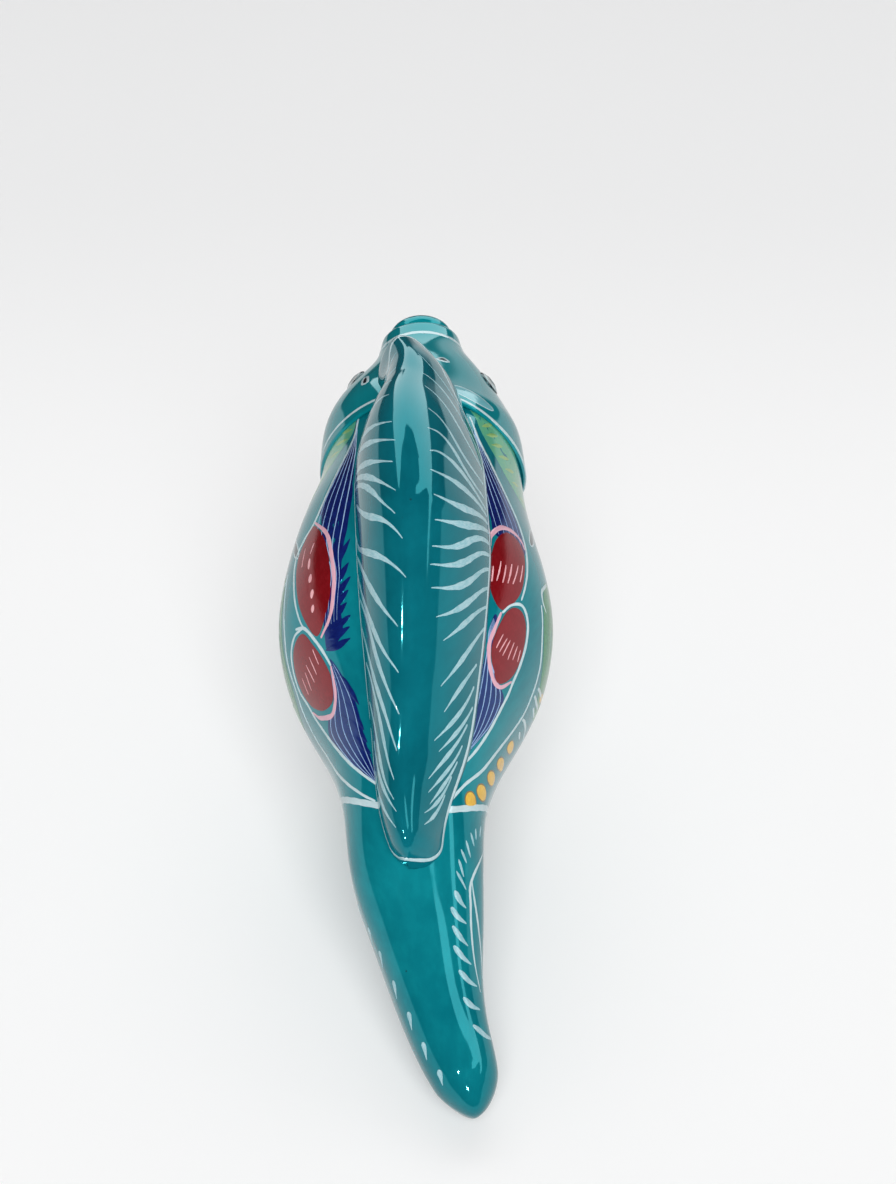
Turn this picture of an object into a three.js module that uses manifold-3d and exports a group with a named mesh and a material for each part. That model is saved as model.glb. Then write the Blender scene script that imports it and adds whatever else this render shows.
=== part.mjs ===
// Glazed earthenware fish figurine: two pressed body shells, a head cap, lips, eyes, a back fin and a tail.
// Millimetres. The head looks along -Y, the tail lies at +Y, Z is up and the figure rests on z = 0.

import * as THREE from 'three';
import { LoftGeometry } from 'three/addons/geometries/LoftGeometry.js';
import { mergeVertices } from 'three/addons/utils/BufferGeometryUtils.js';
import Module from 'manifold-3d';

const wasm = await Module();
wasm.setup();

// Overall sizes
const figureLength = 220; // scale of every lengthwise position
const bodyHeight = 109; // deepest section of the body, square to its axis
const bodyWidth = 74.8; // widest section of the body

// Clay and joints
const wall = 4.8; // thickness of the pressed clay
const lutingGap = 0.3; // line of slip between two joined pieces
const spigotLength = 7; // reach of the tail's root inside the body
const spigotWall = 3; // thickness of that root
const jointSlope = 40; // degrees, fall of the tail joint's axis
const jointAlongShare = 0.242; // place of the tail joint, as a share of the length
const jointRiseShare = 0.528; // its height, as a share of the body's height
const ventDiameter = 3.5; // firing vent under the belly

// Section shapes
const backPower = 2; // rounded back
const keelPower = 1.6; // below 2 narrows to a keel, above 2 fills to a box
const keelBlend = 0.6; // how far down the flank the one passes into the other
const gillBow = 7; // how far the gill edge bows towards the tail at mid height
const gillLip = 0.9; // step of the gill edge above the neck
const gillForward = 1.4; // the gill edge lies this much nearer the snout at mid height
const gillTurn = 1.6; // more so on the fish's left, less on its right
const gillCrown = 1.6; // and more so at the nape

// Back fin
const finStartShare = 0.005; // front end, as a share of the trunk's spine
const finEndShare = 0.722; // rear end
const finFrontRound = 0.03; // rounded front end, as a share of the fin's run
const finRearRound = 0.034; // rounded rear end
const finHalfWidth = 17.8;
const finHeight = 24.5; // crest above the back
const finSeat = 7; // depth of the fin's foot below the back
const finShift = 2.2; // behind the head its foot drifts to the fish's right
const finReturn = 1.5; // share of that drift it gives back at the rear end
const finFrontShift = 2.2; // in front its foot lies this much to the fish's left
const finLean = 3.2; // its crest leans to the fish's left

// Face
const lipRadius = 7;
const lipThickness = 3.5;
const lipCorner = 2.3; // thickness at the corner of the mouth
const mouthDiameter = 8;
const mouthDepth = 3.5;
const eyePlace = 0.545; // from the gill edge to the snout
const eyeTurn = 22; // degrees above the head's widest line
const eyeRadius = 4.1;
const eyeBulge = 1.7;
const eyeSink = 0.9; // its middle lies this far below the skin

// Stations from the neck to the tail's tip, as shares of the overall sizes
const trunkKeys = [
	{ aside: 0, along: -0.375, rise: 0.881, half: 0.543, up: 0.211, down: 0.248 },
	{ aside: -0.007, along: -0.322, rise: 0.819, half: 0.730, up: 0.305, down: 0.380 },
	{ aside: -0.011, along: -0.270, rise: 0.761, half: 0.783, up: 0.353, down: 0.445 },
	{ aside: -0.001, along: -0.166, rise: 0.661, half: 0.936, up: 0.431, down: 0.592 },
	{ aside: -0.007, along: -0.048, rise: 0.550, half: 1.003, up: 0.422, down: 0.603 },
	{ aside: -0.016, along: 0.080, rise: 0.468, half: 0.684, up: 0.312, down: 0.440 },
	{ aside: -0.019, along: 0.170, rise: 0.404, half: 0.505, up: 0.202, down: 0.284 },
	{ aside: -0.033, along: 0.239, rise: 0.344, half: 0.463, up: 0.151, down: 0.229 },
	{ aside: -0.070, along: 0.302, rise: 0.271, half: 0.396, up: 0.124, down: 0.257 },
	{ aside: -0.110, along: 0.366, rise: 0.202, half: 0.313, up: 0.106, down: 0.216 },
	{ aside: -0.167, along: 0.425, rise: 0.138, half: 0.254, up: 0.092, down: 0.154 },
	{ aside: -0.219, along: 0.470, rise: 0.096, half: 0.203, up: 0.083, down: 0.108 },
	{ aside: -0.245, along: 0.502, rise: 0.073, half: 0.134, up: 0.073, down: 0.078 },
];

// Stations from the gill edge to the snout
const headKeys = [
	{ aside: -0.011, along: -0.309, rise: 0.807, half: 0.802, up: 0.333, down: 0.390 },
	{ aside: -0.004, along: -0.348, rise: 0.858, half: 0.762, up: 0.289, down: 0.339 },
	{ aside: -0.005, along: -0.405, rise: 0.936, half: 0.516, up: 0.188, down: 0.225 },
	{ aside: 0.002, along: -0.443, rise: 0.981, half: 0.350, up: 0.126, down: 0.142 },
	{ aside: 0.006, along: -0.466, rise: 1.006, half: 0.310, up: 0.104, down: 0.113 },
];

const glazeTeal = 0x0f8088;
const glazeDark = 0x0a6a74;
const eyeWhite = 0xd9dcd6;

// Smooth value of every named share at a place on the stations, from 0 to 1
function blend(keys, place) {
	const spots = [0];
	for (let i = 1; i < keys.length; i++) {
		const step = Math.hypot(
			(keys[i].along - keys[i - 1].along) * figureLength,
			(keys[i].rise - keys[i - 1].rise) * bodyHeight,
		);
		spots.push(spots[i - 1] + step);
	}
	const total = spots[spots.length - 1];
	const spot = THREE.MathUtils.clamp(place, 0, 1) * total;
	let low = 0;
	while (low < keys.length - 2 && spots[low + 1] < spot) low++;
	const span = spots[low + 1] - spots[low];
	const t = (spot - spots[low]) / span;
	const slope = (name, i) => {
		if (i === 0) return (keys[1][name] - keys[0][name]) / (spots[1] - spots[0]);
		const last = keys.length - 1;
		if (i === last) return (keys[last][name] - keys[last - 1][name]) / (spots[last] - spots[last - 1]);
		const before = spots[i] - spots[i - 1];
		const after = spots[i + 1] - spots[i];
		const rear = (keys[i][name] - keys[i - 1][name]) / before;
		const front = (keys[i + 1][name] - keys[i][name]) / after;
		return (rear * after + front * before) / (before + after);
	};
	const value = {};
	for (const name of Object.keys(keys[0])) {
		const a = keys[low][name];
		const b = keys[low + 1][name];
		const rise = b - a;
		const enter = slope(name, low) * span;
		const leave = slope(name, low + 1) * span;
		value[name] = a + t * (enter + t * (3 * rise - 2 * enter - leave + t * (enter + leave - 2 * rise)));
	}
	return value;
}

// Centre, directions and half sizes of a section, in millimetres
function section(keys, place) {
	const centreAt = (p) => {
		const v = blend(keys, p);
		return new THREE.Vector3(v.aside * bodyWidth, v.along * figureLength, v.rise * bodyHeight);
	};
	const step = 0.002;
	const ahead = centreAt(Math.min(place + step, 1));
	const tangent = ahead.sub(centreAt(Math.max(place - step, 0))).normalize();
	const side = new THREE.Vector3(0, 0, 1).cross(tangent).normalize();
	const value = blend(keys, place);
	return {
		centre: centreAt(place),
		tangent,
		side,
		up: tangent.clone().cross(side),
		half: value.half * bodyWidth / 2,
		above: value.up * bodyHeight,
		below: value.down * bodyHeight,
	};
}

// Closed ring of points around a section, grown outwards, shrunk by a share and bowed along the spine
function ring(shape, count, grow, share = 1, bow = 0) {
	const points = [];
	for (let i = 0; i < count; i++) {
		const angle = (i / count) * Math.PI * 2;
		const c = Math.cos(angle);
		const s = Math.sin(angle);
		const power = 2 / THREE.MathUtils.lerp(backPower, keelPower, THREE.MathUtils.smoothstep(-s, 0, keelBlend));
		const across = Math.sign(c) * Math.abs(c) ** power;
		const high = Math.sign(s) * Math.abs(s) ** power;
		const reach = s > 0 ? shape.above + grow : shape.below + grow;
		points.push(shape.centre.clone()
			.addScaledVector(shape.side, across * (shape.half + grow) * share)
			.addScaledVector(shape.up, high * reach * share)
			.addScaledVector(shape.tangent, -bow * (1 - high * high)));
	}
	return points;
}

// Turns a closed three.js geometry into a solid that can be cut and joined
function solidOf(geometry) {
	const bare = new THREE.BufferGeometry();
	bare.setAttribute('position', geometry.attributes.position);
	bare.setIndex(geometry.index);
	const merged = mergeVertices(bare, 1e-4);
	return new wasm.Manifold(new wasm.Mesh({
		numProp: 3,
		vertProperties: new Float32Array(merged.attributes.position.array),
		triVerts: new Uint32Array(merged.index.array),
	}));
}

function loftSolid(rings) {
	return solidOf(new LoftGeometry(rings, { capStart: true, capEnd: true }));
}

// Places from start to end, drawn together over the rounded last stretch
function places(start, end, count, roundFrom = end, roundCount = 0) {
	const list = [];
	for (let i = 0; i <= count; i++) list.push({ at: THREE.MathUtils.lerp(start, roundFrom, i / count), share: 1 });
	for (let i = 1; i <= roundCount; i++) {
		const angle = (i / (roundCount + 0.35)) * Math.PI / 2;
		list.push({ at: THREE.MathUtils.lerp(roundFrom, end, Math.sin(angle)), share: Math.cos(angle) });
	}
	return list;
}

// The trunk: neck, body and tail as one smooth form, grown or shrunk all round
function trunk(grow, start, end, count, roundFrom, roundCount, around = 40) {
	return loftSolid(places(start, end, count, roundFrom, roundCount)
		.map(({ at, share }) => ring(section(trunkKeys, at), around, grow, share)));
}

const trunkSolid = (grow) => trunk(grow, 0, 1, 32, 0.955, 5);

// A ring of the head: near the gill edge it bows back at mid height and forward towards the left and the nape
function headRing(at, grow) {
	const shape = section(headKeys, at);
	const fade = (1 - at) ** 4;
	const points = ring(shape, 40, grow, 1, gillBow * fade);
	points.forEach((point, i) => {
		const angle = (i / points.length) * Math.PI * 2;
		const crown = gillCrown * Math.max(0, Math.sin(angle));
		point.addScaledVector(shape.tangent, (gillForward + gillTurn * Math.cos(angle) + crown) * fade);
	});
	return points;
}

// The head from its rounded gill edge to the snout
function headSolid(grow) {
	const edge = 0.03;
	const rings = [];
	for (let i = 0; i <= 3; i++) {
		const angle = (i / 3) * Math.PI / 2;
		rings.push(headRing(edge * (1 - Math.cos(angle)), grow - gillLip * (1 - Math.sin(angle))));
	}
	for (let i = 1; i <= 16; i++) rings.push(headRing(THREE.MathUtils.lerp(edge, 1, i / 16), grow));
	return loftSolid(rings);
}

function headHollow() {
	const list = places(0.02, 0.8, 8, 0.62, 4);
	return loftSolid(list.map(({ at, share }) => ring(section(headKeys, at), 28, -wall, share)));
}

// Half space in front of, or behind, a plane square to the tail joint's axis
function jointBlock(front, offset) {
	const size = 400;
	const block = new THREE.BoxGeometry(size, size, size);
	block.translate(0, front ? -size / 2 + offset : size / 2 + offset, 0);
	block.rotateX(THREE.MathUtils.degToRad(-jointSlope));
	block.translate(0, jointAlongShare * figureLength, jointRiseShare * bodyHeight);
	return solidOf(block);
}

function block(x, y, z, cx, cy, cz) {
	return solidOf(new THREE.BoxGeometry(x, y, z).translate(cx, cy, cz));
}

const aboveFloor = () => block(400, 600, 400, 0, 0, 200);
const leftSide = () => block(200, 600, 600, 100, 0, 0);
const rightSide = () => block(200, 600, 600, -100, 0, 0);

// Both body shells still in one piece: hollow, open at the neck and at the tail joint
function bodyHollowed() {
	const cavity = trunk(-wall, 0, 0.8, 22, 0.78, 0, 28);
	const neckOpening = trunk(-wall, 0, 0.1, 3, 0.1, 0, 28).translate([0, -2, 1]);
	return trunkSolid(0)
		.intersect(jointBlock(true, -lutingGap / 2))
		.intersect(aboveFloor())
		.subtract(cavity)
		.subtract(neckOpening);
}

function ventHole() {
	const drill = new THREE.CylinderGeometry(ventDiameter / 2, ventDiameter / 2, 40, 20);
	drill.rotateX(Math.PI / 2);
	drill.translate(wall * 1.2, 0.05 * figureLength, 0);
	return solidOf(drill);
}

const bodyLeft = () => bodyHollowed().intersect(leftSide()).subtract(ventHole());
const bodyRight = () => bodyHollowed().intersect(rightSide());

function tail() {
	const spigotOuter = trunk(-(wall + 2 * lutingGap), 0.45, 0.8, 14, 0.8, 0, 36);
	const spigotBore = trunk(-(wall + 2 * lutingGap + spigotWall), 0.45, 0.8, 14, 0.8, 0, 36);
	const cavity = trunk(-wall, 0.6, 0.9, 12, 0.86, 4, 36);
	const spigot = spigotOuter.intersect(jointBlock(false, -spigotLength)).intersect(jointBlock(true, 1));
	const bore = spigotBore.intersect(jointBlock(true, wall));
	return trunkSolid(0)
		.intersect(jointBlock(false, lutingGap / 2))
		.intersect(aboveFloor())
		.subtract(cavity.intersect(jointBlock(false, wall * 0.8)))
		.add(spigot)
		.subtract(bore);
}

// The back fin: a round-topped ridge riding on the trunk's back, its two ends rounded off
function finForm(shrink, start, end, frontRound, rearRound) {
	const rings = [];
	const count = 24;
	for (let i = 0; i <= count; i++) {
		const t = 0.5 - 0.5 * Math.cos(Math.PI * (0.02 + 0.96 * i / count));
		const base = section(trunkKeys, THREE.MathUtils.lerp(start, end, t));
		const share = finShare(t, frontRound, rearRound);
		const half = (finHalfWidth - shrink) * share.width;
		const crest = finHeight * share.height - shrink * Math.min(1, share.height * 2);
		rings.push(finRing(base, half, Math.max(crest, shrink ? 1 : share.height), finDrift(t)));
	}
	return loftSolid(rings);
}

// Sideways place of the fin's foot along its run
function finDrift(t) {
	const out = THREE.MathUtils.smoothstep(t, 0, 0.35);
	const back = THREE.MathUtils.smoothstep(t, 0.75, 1);
	const front = 1 - THREE.MathUtils.smoothstep(t, 0, 0.1);
	return finShift * out * (1 - finReturn * back) - finFrontShift * front;
}

// How wide and how high the fin is along its run, as shares of its greatest
function finShare(t, frontRound, rearRound) {
	const front = Math.min(1, t / frontRound);
	const rear = Math.min(1, (1 - t) / rearRound);
	const rounding = Math.sqrt(1 - (1 - front) ** 2) * Math.sqrt(1 - (1 - rear) ** 2);
	const slim = 1 - 0.42 * (1 - THREE.MathUtils.smoothstep(t, 0, 0.36));
	const taper = 1 - 0.7 * (Math.max(0, t - 0.45) / 0.55) ** 2;
	const low = 1 - 0.55 * THREE.MathUtils.smoothstep(t, 0.5, 1);
	return { width: rounding * slim * taper, height: rounding * low };
}

function finRing(base, half, crest, drift) {
	const drop = base.above * (1 - Math.sqrt(Math.max(0, 1 - (half / base.half) ** 2)));
	const points = [];
	const count = 18;
	const ridge = base.centre.clone().addScaledVector(base.up, base.above);
	for (let i = 0; i <= count; i++) {
		const angle = (i / count) * Math.PI;
		const c = Math.cos(angle);
		const s = Math.sin(angle);
		const across = half * (0.75 * c + 0.25 * Math.sign(c) * (1 - s));
		const lean = drift - finLean * s;
		points.push(ridge.clone()
			.addScaledVector(base.side, across + lean)
			.addScaledVector(base.up, -drop + (crest + drop) * s));
	}
	for (const edge of [-1, 1]) {
		points.push(ridge.clone()
			.addScaledVector(base.side, edge * half + drift)
			.addScaledVector(base.up, -drop - finSeat));
	}
	return points;
}

function fin() {
	const hollow = finForm(wall, finStartShare + 0.06, finEndShare - 0.13, 0.07, 0.12);
	return finForm(0, finStartShare, finEndShare, finFrontRound, finRearRound)
		.subtract(trunkSolid(lutingGap))
		.subtract(headSolid(lutingGap))
		.subtract(hollow);
}

// Frame of the snout: the lips and the mouth lie square to the head's axis
const snout = section(headKeys, 1);

function onSnout(geometry, forward = 0) {
	const axes = new THREE.Matrix4().makeBasis(snout.side, snout.up, snout.tangent);
	const spot = snout.centre.clone().addScaledVector(snout.tangent, forward);
	return geometry.applyMatrix4(axes).translate(spot.x, spot.y, spot.z);
}

// One lip: a roll along half of the mouth's ring, thick in the middle
function lip(upper, grow) {
	const rings = [];
	const count = 20;
	const clear = 0.05;
	for (let i = 0; i <= count; i++) {
		const t = i / count;
		const turn = THREE.MathUtils.lerp(clear, Math.PI - clear, t) + (upper ? 0 : Math.PI);
		const full = lipCorner + (lipThickness - lipCorner) * Math.sin(Math.PI * t);
		const end = Math.min(1, Math.min(t, 1 - t) * 9 + 0.35);
		const thick = full * Math.sqrt(1 - (1 - end) ** 2) + grow;
		const out = new THREE.Vector3(Math.cos(turn), Math.sin(turn), 0);
		const points = [];
		for (let j = 0; j < 14; j++) {
			const angle = -(j / 14) * Math.PI * 2;
			points.push(out.clone().multiplyScalar(lipRadius + thick * Math.cos(angle))
				.add(new THREE.Vector3(0, 0, thick * Math.sin(angle))));
		}
		rings.push(points);
	}
	return solidOf(onSnout(new LoftGeometry(rings, { capStart: true, capEnd: true }), lipThickness * 0.45));
}

function mouthHole() {
	const drill = new THREE.CylinderGeometry(mouthDiameter / 2, mouthDiameter / 2 - 1, mouthDepth * 2, 28);
	drill.rotateX(Math.PI / 2);
	return solidOf(onSnout(drill));
}

// An eye: a flattened ball let half into the side of the head
function eye(sign, grow) {
	const base = section(headKeys, eyePlace);
	const turn = THREE.MathUtils.degToRad(eyeTurn);
	const ball = new THREE.SphereGeometry(1, 24, 14);
	ball.rotateX(Math.PI / 2);
	ball.scale(eyeRadius + grow, eyeRadius + grow, eyeBulge + grow);
	const outward = base.side.clone().multiplyScalar(sign * Math.cos(turn) / base.half)
		.addScaledVector(base.up, Math.sin(turn) / base.above)
		.normalize()
		.addScaledVector(base.tangent, 0.6)
		.normalize();
	const upward = base.up.clone().addScaledVector(outward, -base.up.dot(outward)).normalize();
	const axes = new THREE.Matrix4().makeBasis(upward.clone().cross(outward), upward, outward);
	const spot = base.centre.clone()
		.addScaledVector(base.side, sign * (base.half * Math.cos(turn) - eyeSink))
		.addScaledVector(base.up, base.above * Math.sin(turn));
	return solidOf(ball.applyMatrix4(axes).translate(spot.x, spot.y, spot.z));
}

function head() {
	return headSolid(0)
		.subtract(trunkSolid(lutingGap))
		.subtract(headHollow())
		.subtract(mouthHole())
		.subtract(lip(true, lutingGap))
		.subtract(lip(false, lutingGap))
		.subtract(eye(1, lutingGap))
		.subtract(eye(-1, lutingGap));
}

function meshOf(name, solid, color, roughness) {
	const { vertProperties, triVerts } = solid.getMesh();
	const geometry = new THREE.BufferGeometry();
	geometry.setAttribute('position', new THREE.BufferAttribute(new Float32Array(vertProperties), 3));
	geometry.setIndex(new THREE.BufferAttribute(new Uint32Array(triVerts), 1));
	geometry.computeVertexNormals();
	const mesh = new THREE.Mesh(geometry, new THREE.MeshStandardMaterial({ color, roughness, metalness: 0 }));
	mesh.name = name;
	return mesh;
}

const group = new THREE.Group();
group.add(meshOf('body_shell_left', bodyLeft(), glazeTeal, 0.12));
group.add(meshOf('body_shell_right', bodyRight(), glazeTeal, 0.12));
group.add(meshOf('head_cap', head(), glazeDark, 0.12));
group.add(meshOf('upper_lip', lip(true, 0), glazeTeal, 0.12));
group.add(meshOf('lower_lip', lip(false, 0), glazeTeal, 0.12));
group.add(meshOf('eye_left', eye(1, 0), eyeWhite, 0.1));
group.add(meshOf('eye_right', eye(-1, 0), eyeWhite, 0.1));
group.add(meshOf('dorsal_fin', fin(), glazeDark, 0.12));
group.add(meshOf('tail_fin', tail(), glazeTeal, 0.12));

export default group;
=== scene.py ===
import math
import bpy
import numpy as np
from mathutils import Matrix, Vector


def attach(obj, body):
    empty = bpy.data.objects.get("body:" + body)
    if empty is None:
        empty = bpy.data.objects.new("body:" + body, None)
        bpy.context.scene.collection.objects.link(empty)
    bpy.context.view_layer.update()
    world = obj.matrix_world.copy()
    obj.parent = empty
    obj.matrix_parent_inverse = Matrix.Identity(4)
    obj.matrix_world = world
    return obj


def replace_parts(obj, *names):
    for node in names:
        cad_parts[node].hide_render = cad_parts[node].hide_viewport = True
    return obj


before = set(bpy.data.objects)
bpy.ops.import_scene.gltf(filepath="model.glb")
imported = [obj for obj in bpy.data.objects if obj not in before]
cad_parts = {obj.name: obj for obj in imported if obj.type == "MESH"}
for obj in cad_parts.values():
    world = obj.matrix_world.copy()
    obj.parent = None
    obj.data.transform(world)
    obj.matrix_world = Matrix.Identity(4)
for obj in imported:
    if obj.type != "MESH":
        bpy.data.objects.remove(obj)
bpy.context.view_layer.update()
mm = .001

# The fish's form in millimetres: place runs 0 to 1 along a part, turn goes round it from the side up

figure = {"length": 220, "height": 109, "width": 74.8, "backPower": 2, "keelPower": 1.6, "keelBlend": .6,
          "tipRound": .045, "handSway": .13}

trunkStations = [  # aside, along, rise, half width, up, down, as shares of the figure
    (0, -.375, .881, .543, .211, .248),
    (-.007, -.322, .819, .730, .305, .380),
    (-.011, -.270, .761, .783, .353, .445),
    (-.001, -.166, .661, .936, .431, .592),
    (-.007, -.048, .550, 1.003, .422, .603),
    (-.016, .080, .468, .684, .312, .440),
    (-.019, .170, .404, .505, .202, .284),
    (-.033, .239, .344, .463, .151, .229),
    (-.070, .302, .271, .396, .124, .257),
    (-.110, .366, .202, .313, .106, .216),
    (-.167, .425, .138, .254, .092, .154),
    (-.219, .470, .096, .203, .083, .108),
    (-.245, .502, .073, .134, .073, .078)]

headStations = [
    (-.011, -.309, .807, .802, .333, .390),
    (-.004, -.348, .858, .762, .289, .339),
    (-.005, -.405, .936, .516, .188, .225),
    (.002, -.443, .981, .350, .126, .142),
    (.006, -.466, 1.006, .310, .104, .113)]

gill = {"bow": 7, "lip": .9, "edge": .03, "forward": 1.4, "turned": 1.6, "crown": 1.6}
finShape = {"start": .005, "end": .722, "halfWidth": 17.8, "height": 24.5, "seat": 7, "shift": 2.2,
            "giveBack": 1.5, "frontShift": 2.2, "lean": 3.2, "frontRound": .03, "rearRound": .034,
            "slimFront": .42, "slimTo": .36, "narrowing": .7, "narrowFrom": .45, "crestFall": .55,
            "crestFallFrom": .5, "shiftedAt": .35, "givenFrom": .75, "frontShiftTo": .1, "upright": .75}
tailJoint = {"along": 53.29, "rise": 57.57, "slope": 40}  # the plane where the tail is let into the body


def smooth(value, low, high):
    t = np.clip((value - low) / (high - low), 0, 1)
    return t ** 3 * (t * (6 * t - 15) + 10)


def trackOf(stations):
    f = figure
    scale = [f["width"], f["length"], f["height"], f["width"] / 2, f["height"], f["height"]]
    rows = np.array(stations, float) * scale
    steps = np.hypot(np.diff(rows[:, 1]), np.diff(rows[:, 2]))
    rates = np.diff(rows, axis=0) / steps[:, None]
    grid, wanted = np.eye(len(rows)), np.zeros_like(rows)  # slopes with an even bend at each station
    wanted[0], wanted[-1] = rates[0], rates[-1]
    for i in range(1, len(rows) - 1):
        grid[i, i - 1:i + 2] = steps[i], 2 * (steps[i - 1] + steps[i]), steps[i - 1]
        wanted[i] = 3 * (rates[i - 1] * steps[i] + rates[i] * steps[i - 1])
    return np.concatenate([[0], np.cumsum(steps)]), rows, np.linalg.solve(grid, wanted)


trunkTrack = trackOf(trunkStations)
headTrack = trackOf(headStations)


def rowAt(track, place):
    spots, rows, slopes = track
    spot = np.clip(place, 0, 1) * spots[-1]
    i = np.clip(np.searchsorted(spots, spot, side="left") - 1, 0, len(spots) - 2)
    span = (spots[i + 1] - spots[i])[:, None]
    t = (spot - spots[i])[:, None] / span
    rise, enter, leave = rows[i + 1] - rows[i], slopes[i] * span, slopes[i + 1] * span
    return rows[i] + t * (enter + t * (3 * rise - 2 * enter - leave + t * (enter + leave - 2 * rise)))


def unitRows(rows):
    return rows / np.maximum(np.linalg.norm(rows, axis=1), 1e-9)[:, None]


def sectionAt(track, place):
    step = .002
    row = rowAt(track, place)
    tangent = rowAt(track, np.minimum(place + step, 1)) - rowAt(track, np.maximum(place - step, 0))
    tangent = tangent[:, :3]
    tangent = unitRows(tangent)
    side = unitRows(np.cross([0, 0, 1], tangent))
    return row[:, :3], tangent, side, np.cross(tangent, side), row[:, 3], row[:, 4], row[:, 5]


def roundSection(track, place, turn, grow=0, share=1, bow=0):
    centre, tangent, side, up, half, above, below = sectionAt(track, place)
    c, s = np.cos(turn), np.sin(turn)
    keel = smooth(-s, 0, figure["keelBlend"])
    power = 2 / (figure["backPower"] + (figure["keelPower"] - figure["backPower"]) * keel)
    level = np.sign(s) * np.abs(s) ** power
    across = np.sign(c) * np.abs(c) ** power * (half + grow) * share
    high = level * (np.where(s > 0, above, below) + grow) * share
    return centre + side * across[:, None] + up * high[:, None] - tangent * (bow * (1 - level ** 2))[:, None]


def handSway(place, turn):  # the faint unevenness of a hand-pressed wall
    waves = ((1, 14, 2, 0), (.7, 31, -3, 1), (.5, 23, 5, 2))
    wave = sum(size * np.sin(a * place + b * turn + start) for size, a, b, start in waves)
    return figure["handSway"] * wave / 2


def trunkAt(place, turn):
    spread = np.clip((place - 1 + figure["tipRound"]) / figure["tipRound"], 0, 1)
    return roundSection(trunkTrack, place, turn, handSway(place, turn), np.sqrt(1 - spread ** 2))


def headRing(place, turn, grow):  # the gill edge bows back at mid height, less on the left and at the nape
    tangent = sectionAt(headTrack, place)[1]
    fade = (1 - place) ** 4
    ahead = gill["forward"] + gill["turned"] * np.cos(turn) + gill["crown"] * np.maximum(0, np.sin(turn))
    ring = roundSection(headTrack, place, turn, grow, 1, gill["bow"] * fade)
    return ring + tangent * (ahead * fade)[:, None]


def headSway(place, turn):
    return handSway(place * .4 + 1, turn) * .6


def headAt(place, turn):
    return headRing(place, turn, headSway(place, turn))


def finSection(t):  # the trunk's section under the fin
    return sectionAt(trunkTrack, finShape["start"] + (finShape["end"] - finShape["start"]) * t)


def finAt(t, turn):
    f = finShape
    centre, _, side, up, baseHalf, above, _ = finSection(t)
    front, rear = np.minimum(1, t / f["frontRound"]), np.minimum(1, (1 - t) / f["rearRound"])
    rounding = np.sqrt(1 - (1 - front) ** 2) * np.sqrt(1 - (1 - rear) ** 2)
    slim = 1 - f["slimFront"] * (1 - smooth(t, 0, f["slimTo"]))
    taper = 1 - f["narrowing"] * (np.maximum(0, t - f["narrowFrom"]) / (1 - f["narrowFrom"])) ** 2
    half = f["halfWidth"] * rounding * slim * taper
    fall = 1 - f["crestFall"] * smooth(t, f["crestFallFrom"], 1)
    crest = f["height"] * rounding * fall + handSway(t + .3, 0) * 1.5
    drop = above * (1 - np.sqrt(np.maximum(0, 1 - (half / baseHalf) ** 2)))
    c, s = np.cos(turn), np.sin(turn)
    drift = f["shift"] * smooth(t, 0, f["shiftedAt"]) * (1 - f["giveBack"] * smooth(t, f["givenFrom"], 1))
    drift = drift - f["frontShift"] * (1 - smooth(t, 0, f["frontShiftTo"]))
    across = half * (f["upright"] * c + (1 - f["upright"]) * np.sign(c) * (1 - s))
    across = across + drift - f["lean"] * s + handSway(t, turn)
    return centre + side * across[:, None] + up * (above - drop + (crest + drop) * s)[:, None]


def jointPlace(turn):  # where each lengthwise line of the trunk meets the joint's plane
    slope = math.radians(tailJoint["slope"])
    low, high = np.full(len(turn), .4), np.full(len(turn), .8)
    for _ in range(24):
        middle = (low + high) / 2
        spot = trunkAt(middle, turn)
        aft, rise = spot[:, 1] - tailJoint["along"], spot[:, 2] - tailJoint["rise"]
        behind = aft * math.cos(slope) > rise * math.sin(slope)
        low, high = np.where(behind, low, middle), np.where(behind, middle, high)
    return middle


# Meshes

def meshPiece(name, points, faces, material, slot, sharpAngle):
    mesh = bpy.data.meshes.new(name)
    mesh.from_pydata((np.asarray(points) * mm).tolist(), [], faces)
    mesh.validate()
    mesh.shade_smooth()
    mesh.set_sharp_from_angle(angle=math.radians(sharpAngle))
    piece = bpy.data.objects.new(name, mesh)
    bpy.context.scene.collection.objects.link(piece)
    mesh.materials.append(material)
    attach(piece, "root")
    return piece


def loftFaces(rows, around, closed=False):
    faces = []
    for i in range(rows if closed else rows - 1):
        for j in range(around):
            here, there, k = i * around, (i + 1) % rows * around, (j + 1) % around
            faces.append((here + j, here + k, there + k, there + j))
    return faces


def closedLoft(rings):  # a loft with a middle point at each end
    rings = np.asarray(rings)
    rows, around = rings.shape[:2]
    points = np.concatenate([rings.reshape(-1, 3), [rings[0].mean(0), rings[-1].mean(0)]])
    faces = loftFaces(rows, around)
    first, last = rows * around, rows * around + 1
    for j in range(around):
        k = (j + 1) % around
        faces.append((first, k, j))
        faces.append((last, (rows - 1) * around + j, (rows - 1) * around + k))
    return points, faces


def closedBand(rings):  # a loft whose last ring joins its first
    rings = np.asarray(rings)
    return rings.reshape(-1, 3), loftFaces(*rings.shape[:2], True)


def loftPiece(name, rings, material, slot, sharpAngle):
    return meshPiece(name, *closedLoft(rings), material, slot, sharpAngle)


# Materials

def inputsOf(shader, values):
    for name, value in values.items():
        shader.inputs[name].default_value = value


def newNode(tree, kind, values=None, **settings):
    made = tree.nodes.new("ShaderNode" + kind)
    for name, value in settings.items():
        setattr(made, name, value)
    inputsOf(made, values or {})
    return made


def join(tree, value, socket):  # value is another node's output or a plain value
    if isinstance(value, bpy.types.NodeSocket):
        tree.links.new(value, socket)
    elif value is not None:
        socket.default_value = value


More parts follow.
